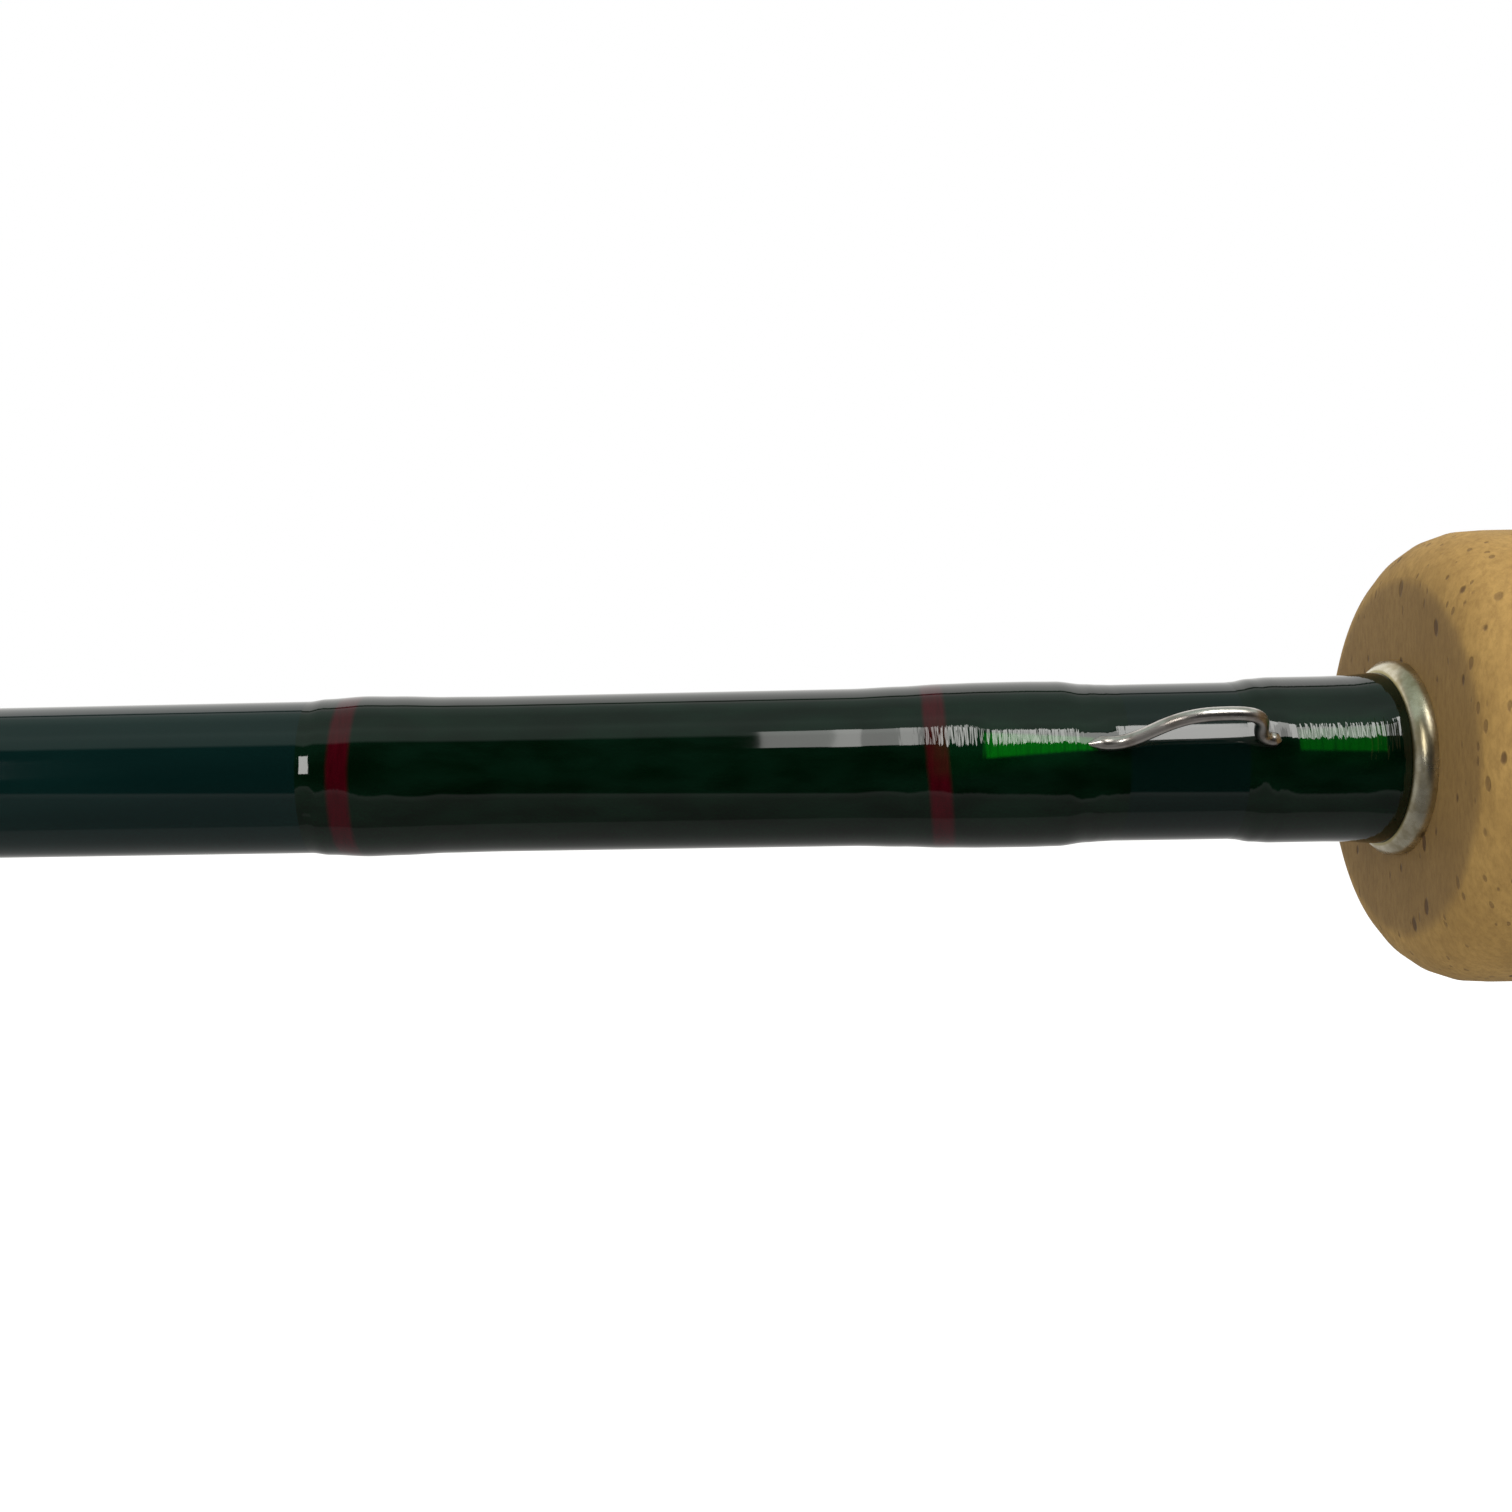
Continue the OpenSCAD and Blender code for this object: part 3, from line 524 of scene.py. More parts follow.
def coat(name, thickness, node="butt_blank", step=0.25 * MM, sides=160):
    """A turned coat on a blank; thickness is a list of (station, height over the blank)."""
    xs, heights = zip(*thickness)
    outer = []
    count = max(8, int((xs[-1] - xs[0]) / step))
    for i in range(count + 1):
        x = xs[0] + (xs[-1] - xs[0]) * i / count
        k = max(j for j in range(len(xs) - 1) if xs[j] <= x + 1e-9)
        t = (x - xs[k]) / (xs[k + 1] - xs[k])
        t = t * t * (3 - 2 * t)
        outer.append((x, radius_on(node, x) + heights[k] + (heights[k + 1] - heights[k]) * t))
    under = [(x, radius_on(node, x) - 0.01 * MM) for x in (xs[-1], xs[0])]
    return turned(name, outer, under, sharp=50, sides=sides)


def pull_out(piece, x0, x1, half_angle, by, reach, towards, node="butt_blank"):
    """Lifts the coat over a foot, softly."""
    way = Vector((0, math.cos(towards), math.sin(towards)))

    def over_foot(co):
        out = Vector((0, co.y, co.z))
        return (x0 < co.x < x1 and out.length > radius_on(node, co.x) + 0.03 * MM
                and out.angle(way) < half_angle)

    pick(piece)
    choose(piece, over_foot)
    bpy.ops.transform.translate(value=way * by, use_proportional_edit=True, proportional_size=reach,
                                proportional_edit_falloff="SMOOTH", use_proportional_connected=True)
    bpy.ops.object.mode_set(mode="OBJECT")


def from_station(start, *steps):
    """Stations and heights in metres, from millimetres counted from a station."""
    return [(start + along * MM, height * MM) for along, height in steps]


f0, s1 = front_lo.x, long_hi.x
long_coat = coat("long_coat", from_station(
    f0, (0.2, 0), (1.0, 0.03), (1.8, 0.075), (3.6, 0.272), (5.5, 0.3), (8.0, 0.298), (10.3, 0.262),
    (12.8, 0.163), (15.8, 0.08)) + from_station(
    s1, (-11.5, 0.078), (-8.3, 0.112), (-5.2, 0.21), (-3.4, 0.252), (-1.0, 0.13), (0.1, 0)))
rear_coat = coat("rear_coat", from_station(
    check_hi.x, (0.02, 0.4), (2.2, 0.262), (3.4, 0.246)) + from_station(
    rear_hi.x, (-1.2, 0.253), (0, 0.18), (0.9, 0.03), (1.3, 0)))
pull_out(long_coat, f0 + 2.0 * MM, f0 + 8.2 * MM, 0.13, 0.1 * MM, 1.3 * MM, KEEPER_WAY)
pull_out(rear_coat, rear_hi.x - 6.0 * MM, rear_hi.x - 1.2 * MM, 0.13, 0.09 * MM, 1.3 * MM, KEEPER_WAY)
print("coats pulled out over the keeper's two feet")

# %% Colour the coats
trim_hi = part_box("keeper_trim_bands")[1]
HALF_BAND = 0.62 * MM
band_2, band_1 = front_hi.x + HALF_BAND, trim_hi.x - HALF_BAND
wrap_thread = thread_finish(
    "keeper_thread", [(band_1, HALF_BAND, -0.05, 0.02), (band_2, HALF_BAND, -0.13, -0.07)],
    [(f0 + 2.2 * MM, f0 + 8.6 * MM, 0.07, 0.15, 0.75, (f0 + 2.8 * MM, f0 + 11.6 * MM))],
    (band_2 + 2.6 * MM, band_1 - 1.5 * MM), KEEPER_WAY)
rear_foot = (rear_hi.x - 6.3 * MM, rear_hi.x - 1.4 * MM)
rear_thread = thread_finish("keeper_rear_thread", [], [(*rear_foot, 0.15, 0.12, 0.42, rear_foot)], None,
                            KEEPER_WAY)
dress(long_coat, "butt_section", wrap_thread, "wrap_thread",
      "keeper_front_wrap", "signature_wrap", "keeper_trim_bands")
dress(rear_coat, "butt_section", rear_thread, "wrap_thread", "keeper_rear_wrap")

# %% [markdown]
# ## Nickel silver
#
# The winding check is a thin turned ring that hides where the blank goes into the cork, and the reel seat
# is of the same metal. Nickel silver is a warm white metal that dulls to straw. A turned ring keeps fine
# marks of the tool round it, so its gloss is drawn out in arcs, and where the wrap's epoxy has run against
# the check it leaves an amber fillet.

# %% Mix the metals
def metal_finish(name, bright, dull, roughness, amber=None, patches=0.16):
    """amber is an edge along X, how soft it is, and the colour ahead of it; patches is how uneven the
    gloss is."""
    material, recipe = new_finish(name)
    x, y, z = recipe.place()
    angle = z.maths("ARCTAN2", y)
    tool = recipe.cloud(x * 9000, angle * 1.5, 0.0, 2.0)
    stain = recipe.cloud(x * 700, y * 700, z * 700, 4.0, 0.6)
    colour = recipe.blend(stain.over(0.52, 0.3), bright, dull)
    if amber:
        edge, soft, tone = amber
        colour = recipe.blend(x.over(edge, soft), colour, tone)
    recipe.finish(Base_Color=colour, Metallic=1.0, Roughness=stain * patches + roughness,
                  bump=(tool * 0.000004 + stain * 0.000006, 0.5))
    return material


nickel_silver = metal_finish("turned_nickel_silver", (0.62, 0.57, 0.46), (0.54, 0.49, 0.385), 0.21,
                             patches=0.05)
check_metal = metal_finish("check_metal", (0.70, 0.65, 0.50), (0.44, 0.38, 0.24), 0.2,
                           amber=(check_hi.x - 0.04 * MM, 0.1 * MM, (0.33, 0.28, 0.12)))

# %% Turn the winding check
def outline_of(node):
    rings = rings_of(node)
    ends = max(rings), min(rings)
    return [(x, rings[x][-1]) for x in rings], [(x, rings[x][0]) for x in ends]


check = turned("shown_check", *outline_of("winding_check"), sharp=60, sides=160)
dress(check, "butt_section", check_metal, "nickel_silver", "winding_check")

# %% [markdown]
# ## Cork
#
# The grip is a row of cork rings glued on the blank and sanded to shape on a lathe. Good cork is an even tan
# with a fine grain and short dark pores, a millimetre or two long, that run across the ring. A Voronoi
# pattern deals out one spot to each of its cells; only a few cells are let keep theirs, and stretching the
# pattern turns the spots into slits. The pores are also sunk a little, and sanding leaves a faint nap. Each
# ring was cut from another piece of bark, so each has its own tint, and the glue between two shows as a hair.

# %% Mix the cork
first_lo, first_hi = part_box("cork_ring_1")
ring_len = first_hi.x - first_lo.x
grip_cork, recipe = new_finish("sanded_cork")
x, y, z = recipe.place()
ring_no = (x - first_lo.x) / ring_len
own = recipe.cloud(ring_no.maths("FLOOR") * 7.31, 0.5, 0.5, 0.0)
joint = 1 - ((ring_no + 0.5).maths("FRACT") - 0.5).maths("ABSOLUTE").over(0.008, 0.01)
wobble = recipe.cloud(x * 900, y * 900, z * 900, 3.0)
grain = recipe.cloud(x * 2600, y * 2600, z * 1100, 4.0, 0.75)
cloudy = recipe.cloud(x * 260, y * 260, z * 160, 4.0, 0.6)


def pores(recipe, across, along, keep, size, seed):
    """Slits in the share of cells above keep, up to a size, and another pattern for each seed."""
    spot = recipe.point(x * across + wobble * 0.3 + seed, y * across + seed, z * along + wobble * 0.3)
    away, lucky, bulk = recipe.cells(spot, 1.0, 2)
    return lucky.over(keep, 0.02) * (1 - (away - bulk * size * 0.6).over(size * 0.5, 0.12))


large = pores(recipe, 1100.0, 560.0, 0.86, 0.27, 3.7)
small = pores(recipe, 2100.0, 900.0, 0.8, 0.34, 9.1) * 0.6
pits = large.maths("MAXIMUM", small)
# the tans of the bark, the glue and the bottoms of the pores, from pale to dark
tan = recipe.blend(cloudy.over(0.5, 0.35), (0.45, 0.272, 0.074), (0.35, 0.204, 0.05))
tan = recipe.blend(own.over(0.5, 0.6) * 0.4, tan, (0.52, 0.33, 0.108))
tan = recipe.blend(grain.over(0.52, 0.4) * 0.62, tan, (0.25, 0.142, 0.04))
tan = recipe.blend(joint * 0.45, tan, (0.12, 0.07, 0.03))
recipe.finish(Base_Color=recipe.blend(pits * 0.8, tan, (0.085, 0.04, 0.013)),
              Roughness=0.72 + grain * 0.15,
              bump=(grain * 0.00003 + cloudy * 0.00006 - pits * 0.00012 - joint * 0.00003, 0.6))

# %% Turn the cork rings
CORK_RINGS, GLUE = 14, 0.05 * MM
for i in range(CORK_RINGS):
    node = f"cork_ring_{i + 1}"
    rings = rings_of(node)
    stations = sorted(rings)
    blank_in = blank_radius(stations[0]) + GLUE
    outer = [(x, rings[x][-1]) for x in stations if rings[x][-1] > blank_in + 1.5 * MM]
    inside = [(outer[-1][0], blank_in), (outer[0][0], blank_in)]
    cork = turned("shown_" + node, outer, inside, sharp=50, sides=128)
    dress(cork, "butt_section", grip_cork, "grip_cork", node)

# %% [markdown]
# ## The hook keeper
#
# The keeper is one piece of bright wire, bent to a small arch, its two ends ground flat to lie under
# thread. It is drawn as a curve: Blender sweeps a round section along it, and each point has its own
# thickness, so the ends thin out. Then it is made a mesh, as every finished piece is.

# %% Bend the keeper
def bend_wire(name, points, radii, sides=10):
    """A round wire along points, with a thickness for each."""
    bpy.ops.object.select_all(action="DESELECT")
    bpy.ops.curve.primitive_nurbs_path_add()
    wire = bpy.context.object
    wire.name = name
    curve = wire.data
    curve.splines.clear()
    spline = curve.splines.new("POLY")
    spline.points.add(len(points) - 1)
    for spot, place, radius in zip(spline.points, points, radii):
        spot.co, spot.radius = (*place, 1), radius
    curve.dimensions, curve.bevel_depth, curve.bevel_resolution = "3D", 1.0, sides
    curve.use_fill_caps = True
    curve.twist_mode = "MINIMUM"
    bpy.ops.object.convert(target="MESH")
    wire = bpy.context.object
    wire.location = (0, 0, 0)
    bpy.ops.object.mode_set(mode="EDIT")
    return settle(wire, 60)


def bezier(a, b, c, d, steps):
    """Points on a curve from a to d that sets out towards b and comes in from c."""
    return [a * (1 - t) ** 3 + b * (3 * t * (1 - t) ** 2) + c * (3 * t * t * (1 - t)) + d * t ** 3
            for t in (i / steps for i in range(steps + 1))]


def keeper_at(x, lean, height):
    """A keeper point from its station, its sideways place and its height over the rod's axis."""
    return Vector((x, height * math.cos(KEEPER_WAY) - lean * math.sin(KEEPER_WAY),
                   height * math.sin(KEEPER_WAY) + lean * math.cos(KEEPER_WAY)))


WIRE, FOOT, HAIR_GAP, ARCH = 0.4 * MM, 0.08 * MM, 0.01 * MM, 2.6 * MM
KEEPER_STEPS = 24
foot_level = blank_radius(rear_hi.x) + HAIR_GAP + FOOT
low = blank_radius(rear_hi.x) + HAIR_GAP + WIRE
top = low + ARCH
back, fore = rear_hi.x, front_lo.x + 2 * MM
crest, lean = back + (fore - back) * (1 - math.cos(math.radians(180 * 0.42))) / 2, 0.9 * MM
rise = bezier(keeper_at(fore, 0, low), keeper_at(fore - 2.4 * MM, -0.3 * MM, low),
              keeper_at(fore - 2.6 * MM, lean, top), keeper_at(crest, lean, top), KEEPER_STEPS)
fall = bezier(keeper_at(crest, lean, top), keeper_at(back - 0.2 * MM, lean + 0.1 * MM, top + 0.1 * MM),
              keeper_at(back + 2 * MM, 0.2 * MM, low), keeper_at(back, 0, low), KEEPER_STEPS)[1:]
tail = [keeper_at(fore + 6 * MM, 0, foot_level - 0.03 * MM), keeper_at(fore + 0.75 * MM, 0, foot_level)]
heel = [keeper_at(back - 0.45 * MM, 0, foot_level), keeper_at(back - 6 * MM, 0, foot_level + 0.01 * MM)]
path = tail + rise + fall + heel
keeper = bend_wire("shown_keeper", path, [FOOT] * 2 + [WIRE] * (len(path) - 4) + [FOOT] * 2)

# %% Mix the wire's steel
CLEAN_STEEL, DULL_STEEL = (0.68, 0.64, 0.60), (0.44, 0.39, 0.35)
polished_wire, recipe = new_finish("polished_wire")
x, y, z = recipe.place()
drawn = recipe.cloud(x * 400, y * 2400, z * 2400, 2.0)
grime = recipe.cloud(x * 900, y * 900, z * 900, 3.0)
recipe.finish(Base_Color=recipe.blend(grime.over(0.55, 0.3), CLEAN_STEEL, DULL_STEEL),
              Metallic=1.0, Roughness=0.21 + grime * 0.18, bump=(drawn * 0.000002, 0.4))
dress(keeper, "butt_section", polished_wire, "guide_wire", "hook_keeper")

# %% [markdown]
# ## Wraps that hold the guides
#
# Every guide is tied on by a wrap over each of its feet, and the open end of each upper section has a hoop
# of thread against splitting. They are short coats of the same kind, laid on with the same lathe. Where a
# wrap climbs over a foot it bulges, and it is drawn from the end of the foot towards the ring.

# %% Mix the guides' thread and turn the hoops
guide_thread = thread_finish("guide_thread")


def short_wrap(name, x0, x1, node, height=0.28 * MM, sides=72):
    """A short coat with round shoulders."""
    soft = min(1.6 * MM, (x1 - x0) / 3)
    return coat(name, [(x0, 0.0), (x0 + 0.25 * soft, 0.5 * height), (x0 + soft, height), (x1 - soft, height),
                       (x1 - 0.25 * soft, 0.5 * height), (x1, 0.0)], node, step=0.4 * MM, sides=sides)


def join(name, *parts):
    pick(*parts)
    bpy.ops.object.join()
    parts[0].name = parts[0].data.name = name
    return parts[0]


def tie_down(name, node, stretches, half_angle, by, reach, sides):
    """Joined wraps; each stretch is where a wrap starts and ends and where the foot under it does."""
    wraps = []
    for x0, x1, foot in stretches:
        wraps.append(short_wrap("one_wrap", x0, x1, node, sides=sides))
        pull_out(wraps[-1], *foot, half_angle, by, reach, DOWN, node)
    return join(name, *wraps)


for i, node in enumerate(("lower_mid_blank", "upper_mid_blank", "tip_blank")):
    lo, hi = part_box(f"ferrule_wrap_{i + 1}")
    hoop = short_wrap(f"shown_hoop_{i + 1}", lo.x, hi.x, node)
    dress(hoop, BLANKS[node], guide_thread, "wrap_thread", f"ferrule_wrap_{i + 1}")

lo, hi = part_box("tip_top_wrap")
dress(short_wrap("shown_tip_wrap", lo.x, hi.x, "tip_blank"), "tip_section", guide_thread, "wrap_thread",
      "tip_top_wrap")

# %% [markdown]
# ## Snake guides
#
# A snake guide is one wire with a single twist: it leaves one foot, goes once round the line's path and
# comes down to the other foot. Its feet are the same wire, ground to a wedge so that thread can climb it.
# The wire is bent as a curve, and once it is a mesh each foot is ground with Resize, squeezed towards the
# blank and widened a little. The nine differ in size alone, so one recipe bends them all, and the sizes
# come from the boxes of the solids.

# %% Bend nine snake guides
def grind(piece, x0, x1, level, flat, wide):
    """Squeezes a stretch of a wire towards a level under it, and widens it."""
    choose(piece, lambda co: x0 < co.x < x1)
    bpy.ops.transform.resize(value=(1, wide, flat), center_override=((x0 + x1) / 2, 0, level))
    bpy.ops.object.mode_set(mode="OBJECT")


SNAKE_BLANKS = ["lower_mid_blank"] * 2 + ["upper_mid_blank"] * 3 + ["tip_blank"] * 4
SNAKE_LONG, SNAKE_SPARE, SNAKE_SPAN = 6.4, 3.2 * MM, 3.6   # length in loop radii, and more; the turn's span
SNAKE_STEPS = 40
for i, node in enumerate(SNAKE_BLANKS):
    lo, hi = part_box(f"snake_guide_{i + 1}")
    middle, length = (lo.x + hi.x) / 2, hi.x - lo.x
    r = (length - SNAKE_SPARE) / SNAKE_LONG
    span, wire = SNAKE_SPAN * r, hi.y - r
    level = -lo.z - 2 * r - 2 * wire
    foot_z = -level - wire
    points = [Vector((lo.x, 0, foot_z)), Vector((middle - span / 2 - 0.4 * MM, 0, foot_z))]
    for step in range(SNAKE_STEPS + 1):
        share = step / SNAKE_STEPS
        a = 2 * math.pi * share * share * (3 - 2 * share)
        points.append(Vector((middle + span * (share - 0.5), r * math.sin(a),
                              foot_z - r * (1 - math.cos(a)))))
    points += [Vector((middle + span / 2 + 0.4 * MM, 0, foot_z)), Vector((hi.x, 0, foot_z))]
    near = 0.2 * MM
    feet = [(lo.x - near, middle - span / 2 - 0.3 * MM), (middle + span / 2 + 0.3 * MM, hi.x + near)]
    radii = [wire * 0.55] + [wire] * (len(points) - 2) + [wire * 0.55]
    snake = bend_wire(f"shown_snake_{i + 1}", points, radii, 4)
    for x0, x1 in feet:
        grind(snake, x0, x1, -level, 0.28, 1.25)
    dress(snake, BLANKS[node], polished_wire, "guide_wire", f"snake_guide_{i + 1}")

    ends = [(lo.x - 2.4 * MM, middle - span / 2 - 1.6 * MM), (middle + span / 2 + 1.6 * MM, hi.x + 2.4 * MM)]
    stretches = [(x0, x1, (max(x0, lo.x) + 0.8 * MM, min(x1, hi.x) - 0.8 * MM)) for x0, x1 in ends]
    wraps = tie_down(f"shown_snake_wraps_{i + 1}", node, stretches, 0.45, 0.08 * MM, 1.0 * MM, 48)
    dress(wraps, BLANKS[node], guide_thread, "wrap_thread", f"snake_guide_wraps_{i + 1}")

# %% [markdown]
# ## The stripping guide
#
# The first guide takes the hardest rub, so it has a ring of hard dark ceramic pressed into a wire hoop that
# stands on one leg in front and two behind. Ring and hoop are turned about their own axis, which lies under
# the rod's, and the legs are bent and ground as the snakes' feet are.

# %% Make the ring and its frame
ring_lo, ring_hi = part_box("stripping_guide_ring")
frame_lo, frame_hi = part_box("stripping_guide_frame")
ring_axis = -(ring_lo.z + ring_hi.z) / 2
ring_x, ring_r = (ring_lo.x + ring_hi.x) / 2, (ring_hi.z - ring_lo.z) / 2
ring_half, RING_WALL, LIP, FIT = (ring_hi.x - ring_lo.x) / 2, 1.2 * MM, 0.55, 0.02 * MM
lip = [(ring_x - ring_half * math.cos(math.radians(a)), ring_r - RING_WALL + RING_WALL * LIP
        - RING_WALL * LIP * math.sin(math.radians(a))) for a in range(0, 181, 15)]
guide_ring = turned("shown_guide_ring", [(ring_lo.x, ring_r - FIT), (ring_hi.x, ring_r - FIT)],
                    lip[::-1], sharp=50, sides=72, drop=ring_axis)
hoop_out, ROUND = -frame_lo.z - ring_axis, 0.25 * MM
hoop_x0, hoop_x1 = ring_x - (ring_half - 0.2 * MM), ring_x + (ring_half - 0.2 * MM)
guide_hoop = turned("hoop", [(hoop_x0, hoop_out - ROUND), (hoop_x0 + ROUND, hoop_out),
                             (hoop_x1 - ROUND, hoop_out), (hoop_x1, hoop_out - ROUND)],
                    [(hoop_x1, ring_r + FIT), (hoop_x0, ring_r + FIT)], sharp=50, sides=72, drop=ring_axis)
LEG, LEG_FOOT, LEG_STEPS, HOLD_Y, HOLD_Z = 0.55 * MM, 6.4 * MM, 12, 4.4 * MM, 3.7 * MM
legs = [guide_hoop]
for name, start, corner, end in (
        ("front", (ring_x, 0, -ring_axis + ring_r + LEG), frame_hi.x - LEG_FOOT, frame_hi.x),
        ("near", (ring_x, HOLD_Y, -ring_axis + HOLD_Z), frame_lo.x + LEG_FOOT, frame_lo.x),
        ("far", (ring_x, -HOLD_Y, -ring_axis + HOLD_Z), frame_lo.x + LEG_FOOT, frame_lo.x)):
    away = 1 if end > corner else -1
    level = blank_radius(end if away < 0 else corner)
    side = 0.5 * MM * ((start[1] > 0) - (start[1] < 0))
    knee = Vector((corner, side, -level - LEG))
    bend = bezier(Vector(start), Vector(start).lerp(knee, 0.5), knee - Vector((away * 1.2 * MM, 0, 0)),
                  knee + Vector((away * 0.6 * MM, 0, 0)), LEG_STEPS)
    leg = bend_wire(name, bend + [Vector((end, side, -level - LEG))], [LEG] * len(bend) + [LEG * 0.5], 5)
    x0, x1 = sorted((corner + away * 0.5 * MM, end + away * 0.2 * MM))
    grind(leg, x0, x1, -level, 0.3, 1.2)
    legs.append(leg)
guide_frame = join("shown_guide_frame", *legs)

stretches = [(x0, x1, (foot - 2 * MM, foot + 1.2 * MM)) for x0, x1, foot in (
    (frame_hi.x - 5 * MM, frame_hi.x + 4 * MM, frame_hi.x - 3.5 * MM),
    (frame_lo.x - 4 * MM, frame_lo.x + 5 * MM, frame_lo.x + 3.5 * MM))]
strip_wraps = tie_down("shown_strip_wraps", "butt_blank", stretches, 0.28, 0.1 * MM, 1.4 * MM, 96)

# %% Fire the ceramic
fired_ceramic, recipe = new_finish("fired_ceramic")
x, y, z = recipe.place()
speck = recipe.cloud(x * 4000, y * 4000, z * 4000, 2.0)
haze = recipe.cloud(x * 500, y * 500, z * 500, 2.0)
recipe.finish(Base_Color=recipe.blend(speck.over(0.6, 0.2), (0.022, 0.023, 0.026), (0.06, 0.062, 0.066)),
              Roughness=0.12 + haze * 0.12, bump=(haze * 0.000006, 0.3))
dress(guide_ring, "butt_section", fired_ceramic, "ring_ceramic", "stripping_guide_ring")
dress(guide_frame, "butt_section", polished_wire, "guide_wire", "stripping_guide_frame")
dress(strip_wraps, "butt_section", guide_thread, "wrap_thread", "stripping_guide_wraps")

# %% [markdown]
# ## The tip-top
#
# At the very tip a short tube is glued over the blank, and a wire loop is soldered on it, leaning forward a
# little so the line leaves freely. The loop is a torus, set at its lean as it is made, and two arms of the
# same wire run back from it along the tube.

# %% Make the tip-top
tip_lo, tip_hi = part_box("tip_top")
tube_r = tip_hi.z
tube_bore, VENT, CAP = radius_on("tip_blank", tip_lo.x) + GLUE, 0.2 * MM, 0.9 * MM
tube = turned("tip_tube", [(tip_lo.x, tube_bore), (tip_lo.x + 0.1 * MM, tube_r),
                           (tip_hi.x - 0.4 * MM, tube_r), (tip_hi.x - 0.1 * MM, tube_bore + 0.1 * MM),
                           (tip_hi.x, 0.6 * tube_bore), (tip_hi.x, VENT)],
              [(tip_hi.x - CAP, VENT), (tip_hi.x - CAP, tube_bore)], sharp=50, sides=48)
LOOP_WIRE, LOOP_LEAN, ARM_STEPS = 0.35 * MM, math.radians(78), 10
loop_r = tip_hi.y - LOOP_WIRE
bpy.ops.object.select_all(action="DESELECT")
bpy.ops.mesh.primitive_torus_add(major_radius=loop_r, minor_radius=LOOP_WIRE, major_segments=72,
                                 minor_segments=16, location=(tip_hi.x - 1 * MM, 0, -tube_r - loop_r),
                                 rotation=(0, LOOP_LEAN, 0))
loop = bpy.context.object
bpy.ops.object.transform_apply(location=True, rotation=True, scale=True)
bpy.ops.object.shade_smooth_by_angle(angle=math.radians(60))
arms = [loop, tube]
for side in (-1, 1):
    points = [Vector((tip_hi.x - 8 * MM, side * (tube_r + 0.15 * MM), -0.1 * MM)),
              Vector((tip_hi.x - 4 * MM, side * (tube_r + 0.2 * MM), -0.5 * MM)),
              Vector((tip_hi.x - 2 * MM, side * (tube_r + 0.45 * MM), -1.3 * MM)),
              Vector((tip_hi.x - 1.3 * MM, side * loop_r * 0.93, -tube_r - loop_r * 0.7))]
    arms.append(bend_wire(f"arm_{side}", bezier(*points, ARM_STEPS),
                          [0.15 * MM] + [0.28 * MM] * ARM_STEPS, 4))
tip = join("shown_tip_top", *arms)
dress(tip, "tip_section", polished_wire, "guide_wire", "tip_top")

# %% [markdown]
# ## The reel seat
#
# The reel's two feet go under two hoods. One is fixed in the cork, the other slides on a threaded barrel
# and a knurled nut drives it home. Between them lies an insert of figured wood, flat below where the reel
# sits. Cap, barrel and insert come off the lathe. A hood is a sleeve with a bulge, so it is built as a
# fitter would: two tubes are joined and their hollows bored with Booleans, then its rims are eased.

# %% Turn the cap and the barrel
cap_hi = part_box("butt_cap")[1]
cap_r, cap_len = cap_hi.z, cap_hi.x
barrel_lo, barrel_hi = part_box("threaded_barrel")
barrel_rings = rings_of("threaded_barrel")
barrel_bore, CAP_ROOM = barrel_rings[round(barrel_lo.x, 6)][0], 7 * MM
seat_r = barrel_hi.z
cap_outer = [(0, 0)] + [(along * MM, cap_r - under * MM) for along, under in (
    (0, 2.2), (0.12, 1.5), (0.5, 0.4), (1.0, 0.12), (1.6, 0), (7.0, 0), (7.2, 0.3), (7.8, 0.3), (8.0, 0))]
cap_outer += [(cap_len - short * MM, cap_r - under * MM) for short, under in (
    (2, 0), (1.2, 0.2), (0.6, 0.6), (0.15, 1.3))] + [(cap_len, seat_r + 1 * MM), (cap_len, barrel_bore)]
cap = turned("shown_cap", cap_outer, [(cap_len - CAP_ROOM, barrel_bore), (cap_len - CAP_ROOM, 0)],
             sharp=32, sides=128)
dress(cap, "butt_section", nickel_silver, "nickel_silver", "butt_cap")

crests = [(x, barrel_rings[x][-1]) for x in barrel_rings]
barrel = turned("shown_barrel", crests, [(barrel_hi.x, barrel_bore), (barrel_lo.x, barrel_bore)], sharp=30)
dress(barrel, "butt_section", nickel_silver, "nickel_silver", "threaded_barrel")

# %% Join and bore the hoods
def rod_stock(name, x0, x1, radius, drop=0.0, sides=128):
    bpy.ops.object.select_all(action="DESELECT")
    bpy.ops.mesh.primitive_cylinder_add(vertices=sides, radius=radius, depth=x1 - x0,
                                        location=((x0 + x1) / 2, 0, -drop), rotation=(0, math.pi / 2, 0))
    bpy.ops.object.transform_apply(location=True, rotation=True, scale=True)
    bpy.context.object.name = name
    return bpy.context.object


def work(piece, tool, operation):
    """Joins a tool shape to a piece, or cuts it away, and throws the tool shape away."""
    pick(piece)
    cut = piece.modifiers.new("cut", "BOOLEAN")
    cut.operation, cut.object, cut.solver = operation, tool, "EXACT"
    bpy.ops.object.modifier_apply(modifier=cut.name)
    bpy.data.objects.remove(tool)


def ease(piece, width, angle=40):
    """Takes the edge off every corner sharper than an angle."""
    pick(piece)
    rim = piece.modifiers.new("rim", "BEVEL")
    rim.width, rim.segments, rim.limit_method, rim.angle_limit = width, 2, "ANGLE", math.radians(angle)
    bpy.ops.object.modifier_apply(modifier=rim.name)
    bpy.ops.object.shade_smooth_by_angle(angle=math.radians(32))


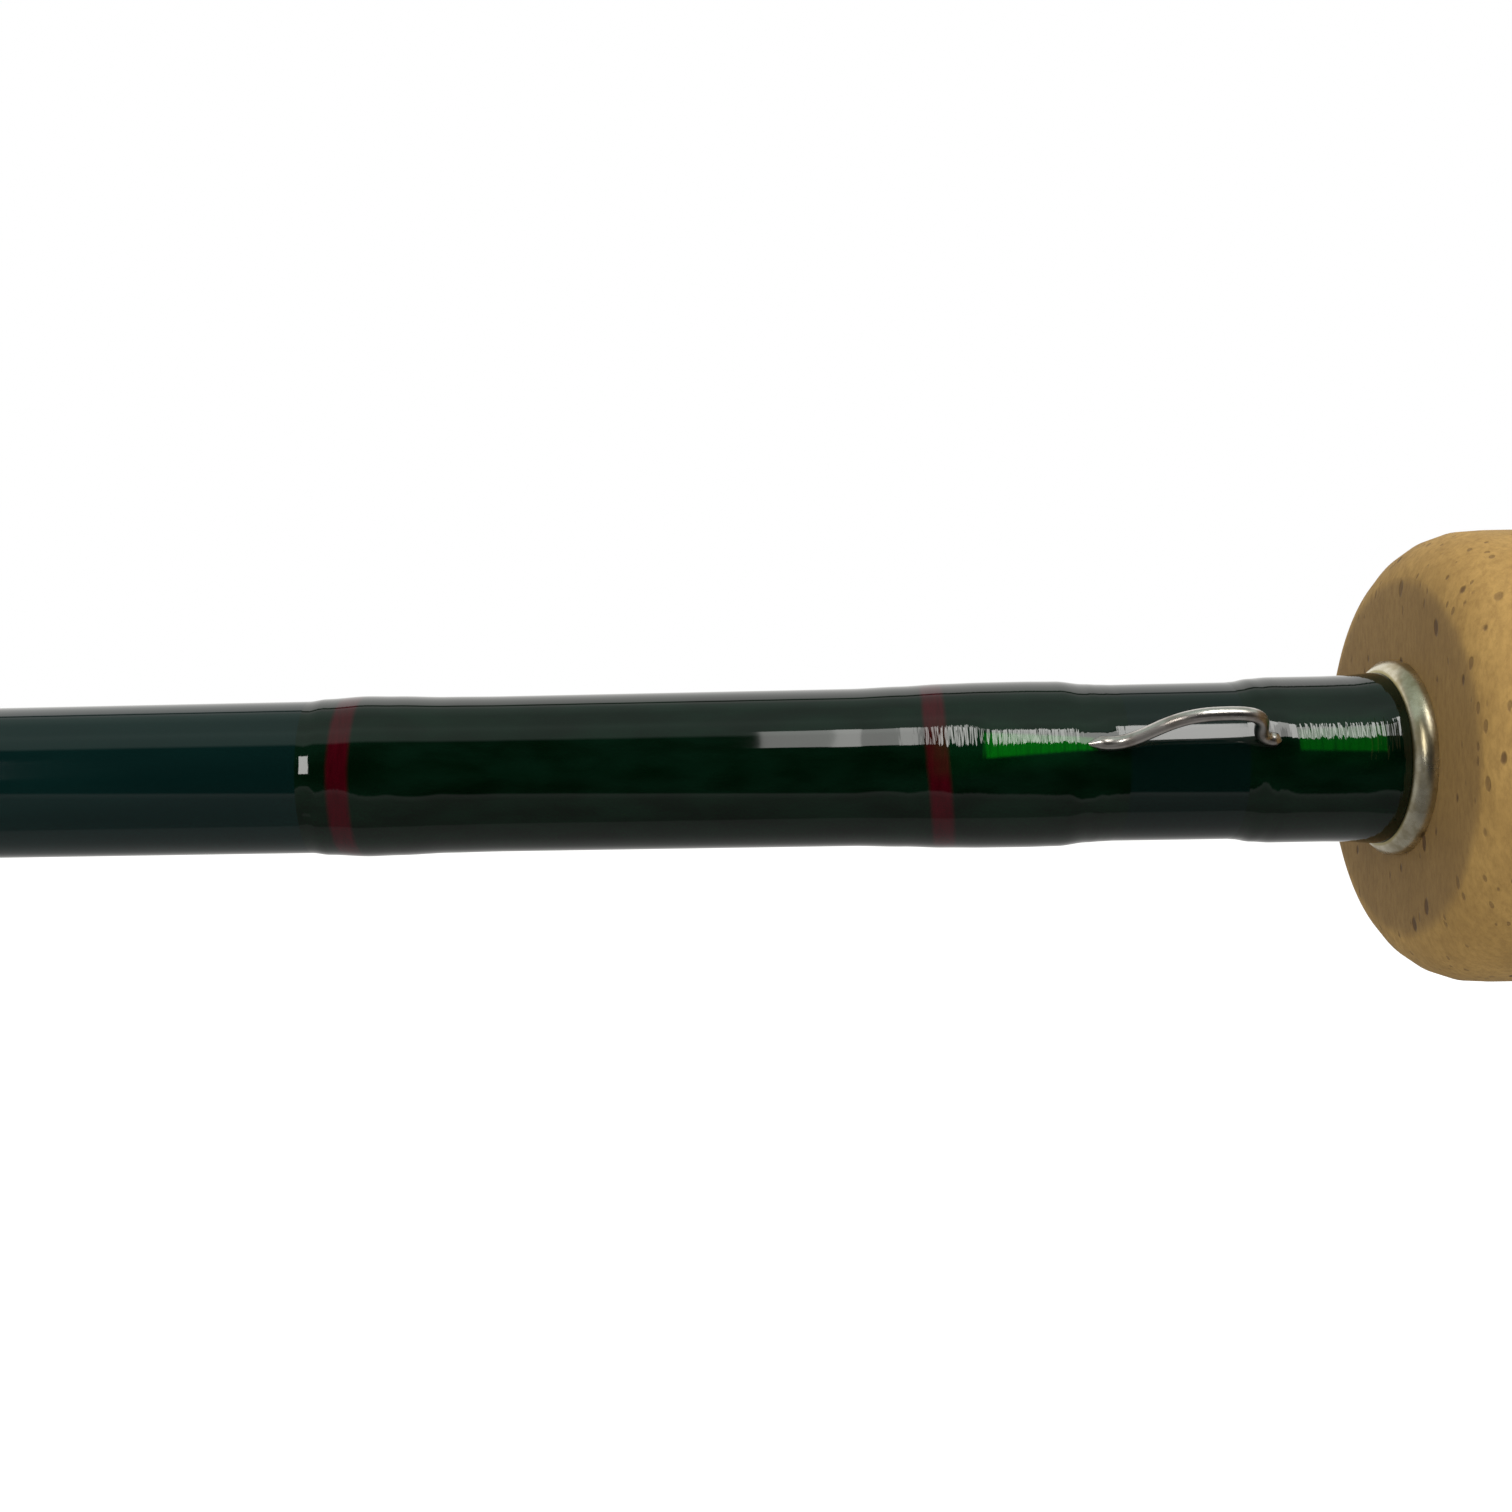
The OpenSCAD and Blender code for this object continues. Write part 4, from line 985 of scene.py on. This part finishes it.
HOOD_WALL, FOOT_ROOM, POCKET, OVER = 0.9 * MM, 7.4 * MM, 9 * MM, 1 * MM
for node, body, mouth_ahead in (("sliding_hood", "reel_hood", True), ("fixed_hood", "butt_section", False)):
    lo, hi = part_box(node)
    drop = -lo.z - FOOT_ROOM - HOOD_WALL
    hood = rod_stock("shown_" + node, lo.x, hi.x, hi.y)
    work(hood, rod_stock("bulge", lo.x, hi.x, FOOT_ROOM + HOOD_WALL, drop), "UNION")
    pocket = (hi.x - POCKET, hi.x + OVER) if mouth_ahead else (lo.x - OVER, lo.x + POCKET)
    work(hood, rod_stock("bore", lo.x - OVER, hi.x + OVER, hi.y - HOOD_WALL), "DIFFERENCE")
    work(hood, rod_stock("pocket", *pocket, FOOT_ROOM, drop), "DIFFERENCE")
    ease(hood, 0.12 * MM)
    dress(hood, body, nickel_silver, "nickel_silver", node)

# %% [markdown]
# ## Wood, cork bushings and the nut
#
# The insert is hard, oiled wood. Long pores run with the rod, the year rings lie a little askew to it, and
# the figure shimmers across the grain. Its pattern is stretched noise along X, bent by a slower noise. The
# nut keeps its solid, because a knurl is cut crisp, and so do the cork bushings inside the seat, which
# nobody sees until the seat is taken apart: both take their finishes in the solids' own slots.

# %% Shape and finish the insert
lo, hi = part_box("wood_insert")
inner = rings_of("wood_insert")[round(lo.x, 6)][0]
RIM, FLAT_DEEP = 0.2 * MM, 1.8 * MM
insert = turned("shown_insert", [(lo.x, seat_r - RIM), (lo.x + RIM, seat_r), (hi.x - RIM, seat_r),
                                 (hi.x, seat_r - RIM)], [(hi.x, inner), (lo.x, inner)], sides=128)
bpy.ops.object.select_all(action="DESELECT")
bpy.ops.mesh.primitive_cube_add(size=1, location=((lo.x + hi.x) / 2, 0, -seat_r),
                                scale=(hi.x - lo.x - 4 * MM, 3 * seat_r, FLAT_DEEP))
flat = bpy.context.object
bpy.ops.object.transform_apply(location=True, rotation=True, scale=True)
work(insert, flat, "DIFFERENCE")
ease(insert, 0.1 * MM, 30)

oiled_wood, recipe = new_finish("oiled_wood")
x, y, z = recipe.place()
sway = recipe.cloud(x * 40, y * 60, z * 60, 3.0)
depth = (z + y * 0.35 + x * 0.03) * 900 + sway * 5
year = recipe.step("ShaderNodeTexWave", {"wave_type": "BANDS", "bands_direction": "X"},
                   {"Vector": recipe.point(depth * 0.18, 0.0, 0.0), "Scale": 1.0, "Distortion": 2.0}, 1)
fibre = recipe.cloud(x * 180, y * 5200, z * 5200, 4.0, 0.65)
vessels = recipe.cloud(x * 420, y * 7000, z * 7000, 1.0).over(0.68, 0.1)
shimmer = recipe.cloud(x * 700, y * 90, z * 90, 2.0)
wood = recipe.blend(year, (0.115, 0.046, 0.017), (0.05, 0.019, 0.008))
wood = recipe.blend(fibre.over(0.5, 0.5) * 0.6, wood, (0.17, 0.075, 0.028))
wood = recipe.blend(shimmer.over(0.6, 0.25) * 0.35, wood, (0.21, 0.1, 0.04))
recipe.finish(Base_Color=recipe.blend(vessels * 0.8, wood, (0.014, 0.006, 0.003)),
              Roughness=0.3 + fibre * 0.15, Coat_Weight=0.25,
              bump=(fibre * 0.00002 - vessels * 0.00004, 0.4))
dress(insert, "butt_section", oiled_wood, "reel_seat_wood", "wood_insert")

# %% Finish the solids that stay
pressed_cork, recipe = new_finish("pressed_cork")
x, y, z = recipe.place()
_, crumb = recipe.cells(recipe.point(x, y, z), 900.0)
dusty = recipe.cloud(x * 3000, y * 3000, z * 3000, 3.0)
recipe.finish(Base_Color=recipe.blend(crumb, (0.3, 0.2, 0.1), (0.17, 0.105, 0.05)),
              Roughness=0.8 + dusty * 0.1, bump=(crumb * 0.00003 + dusty * 0.00002, 0.5))
for node, finish in (("lock_nut", nickel_silver), ("seat_bushings", pressed_cork)):
    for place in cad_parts[node].material_slots:
        place.material = finish
    print(node, "keeps its solid")
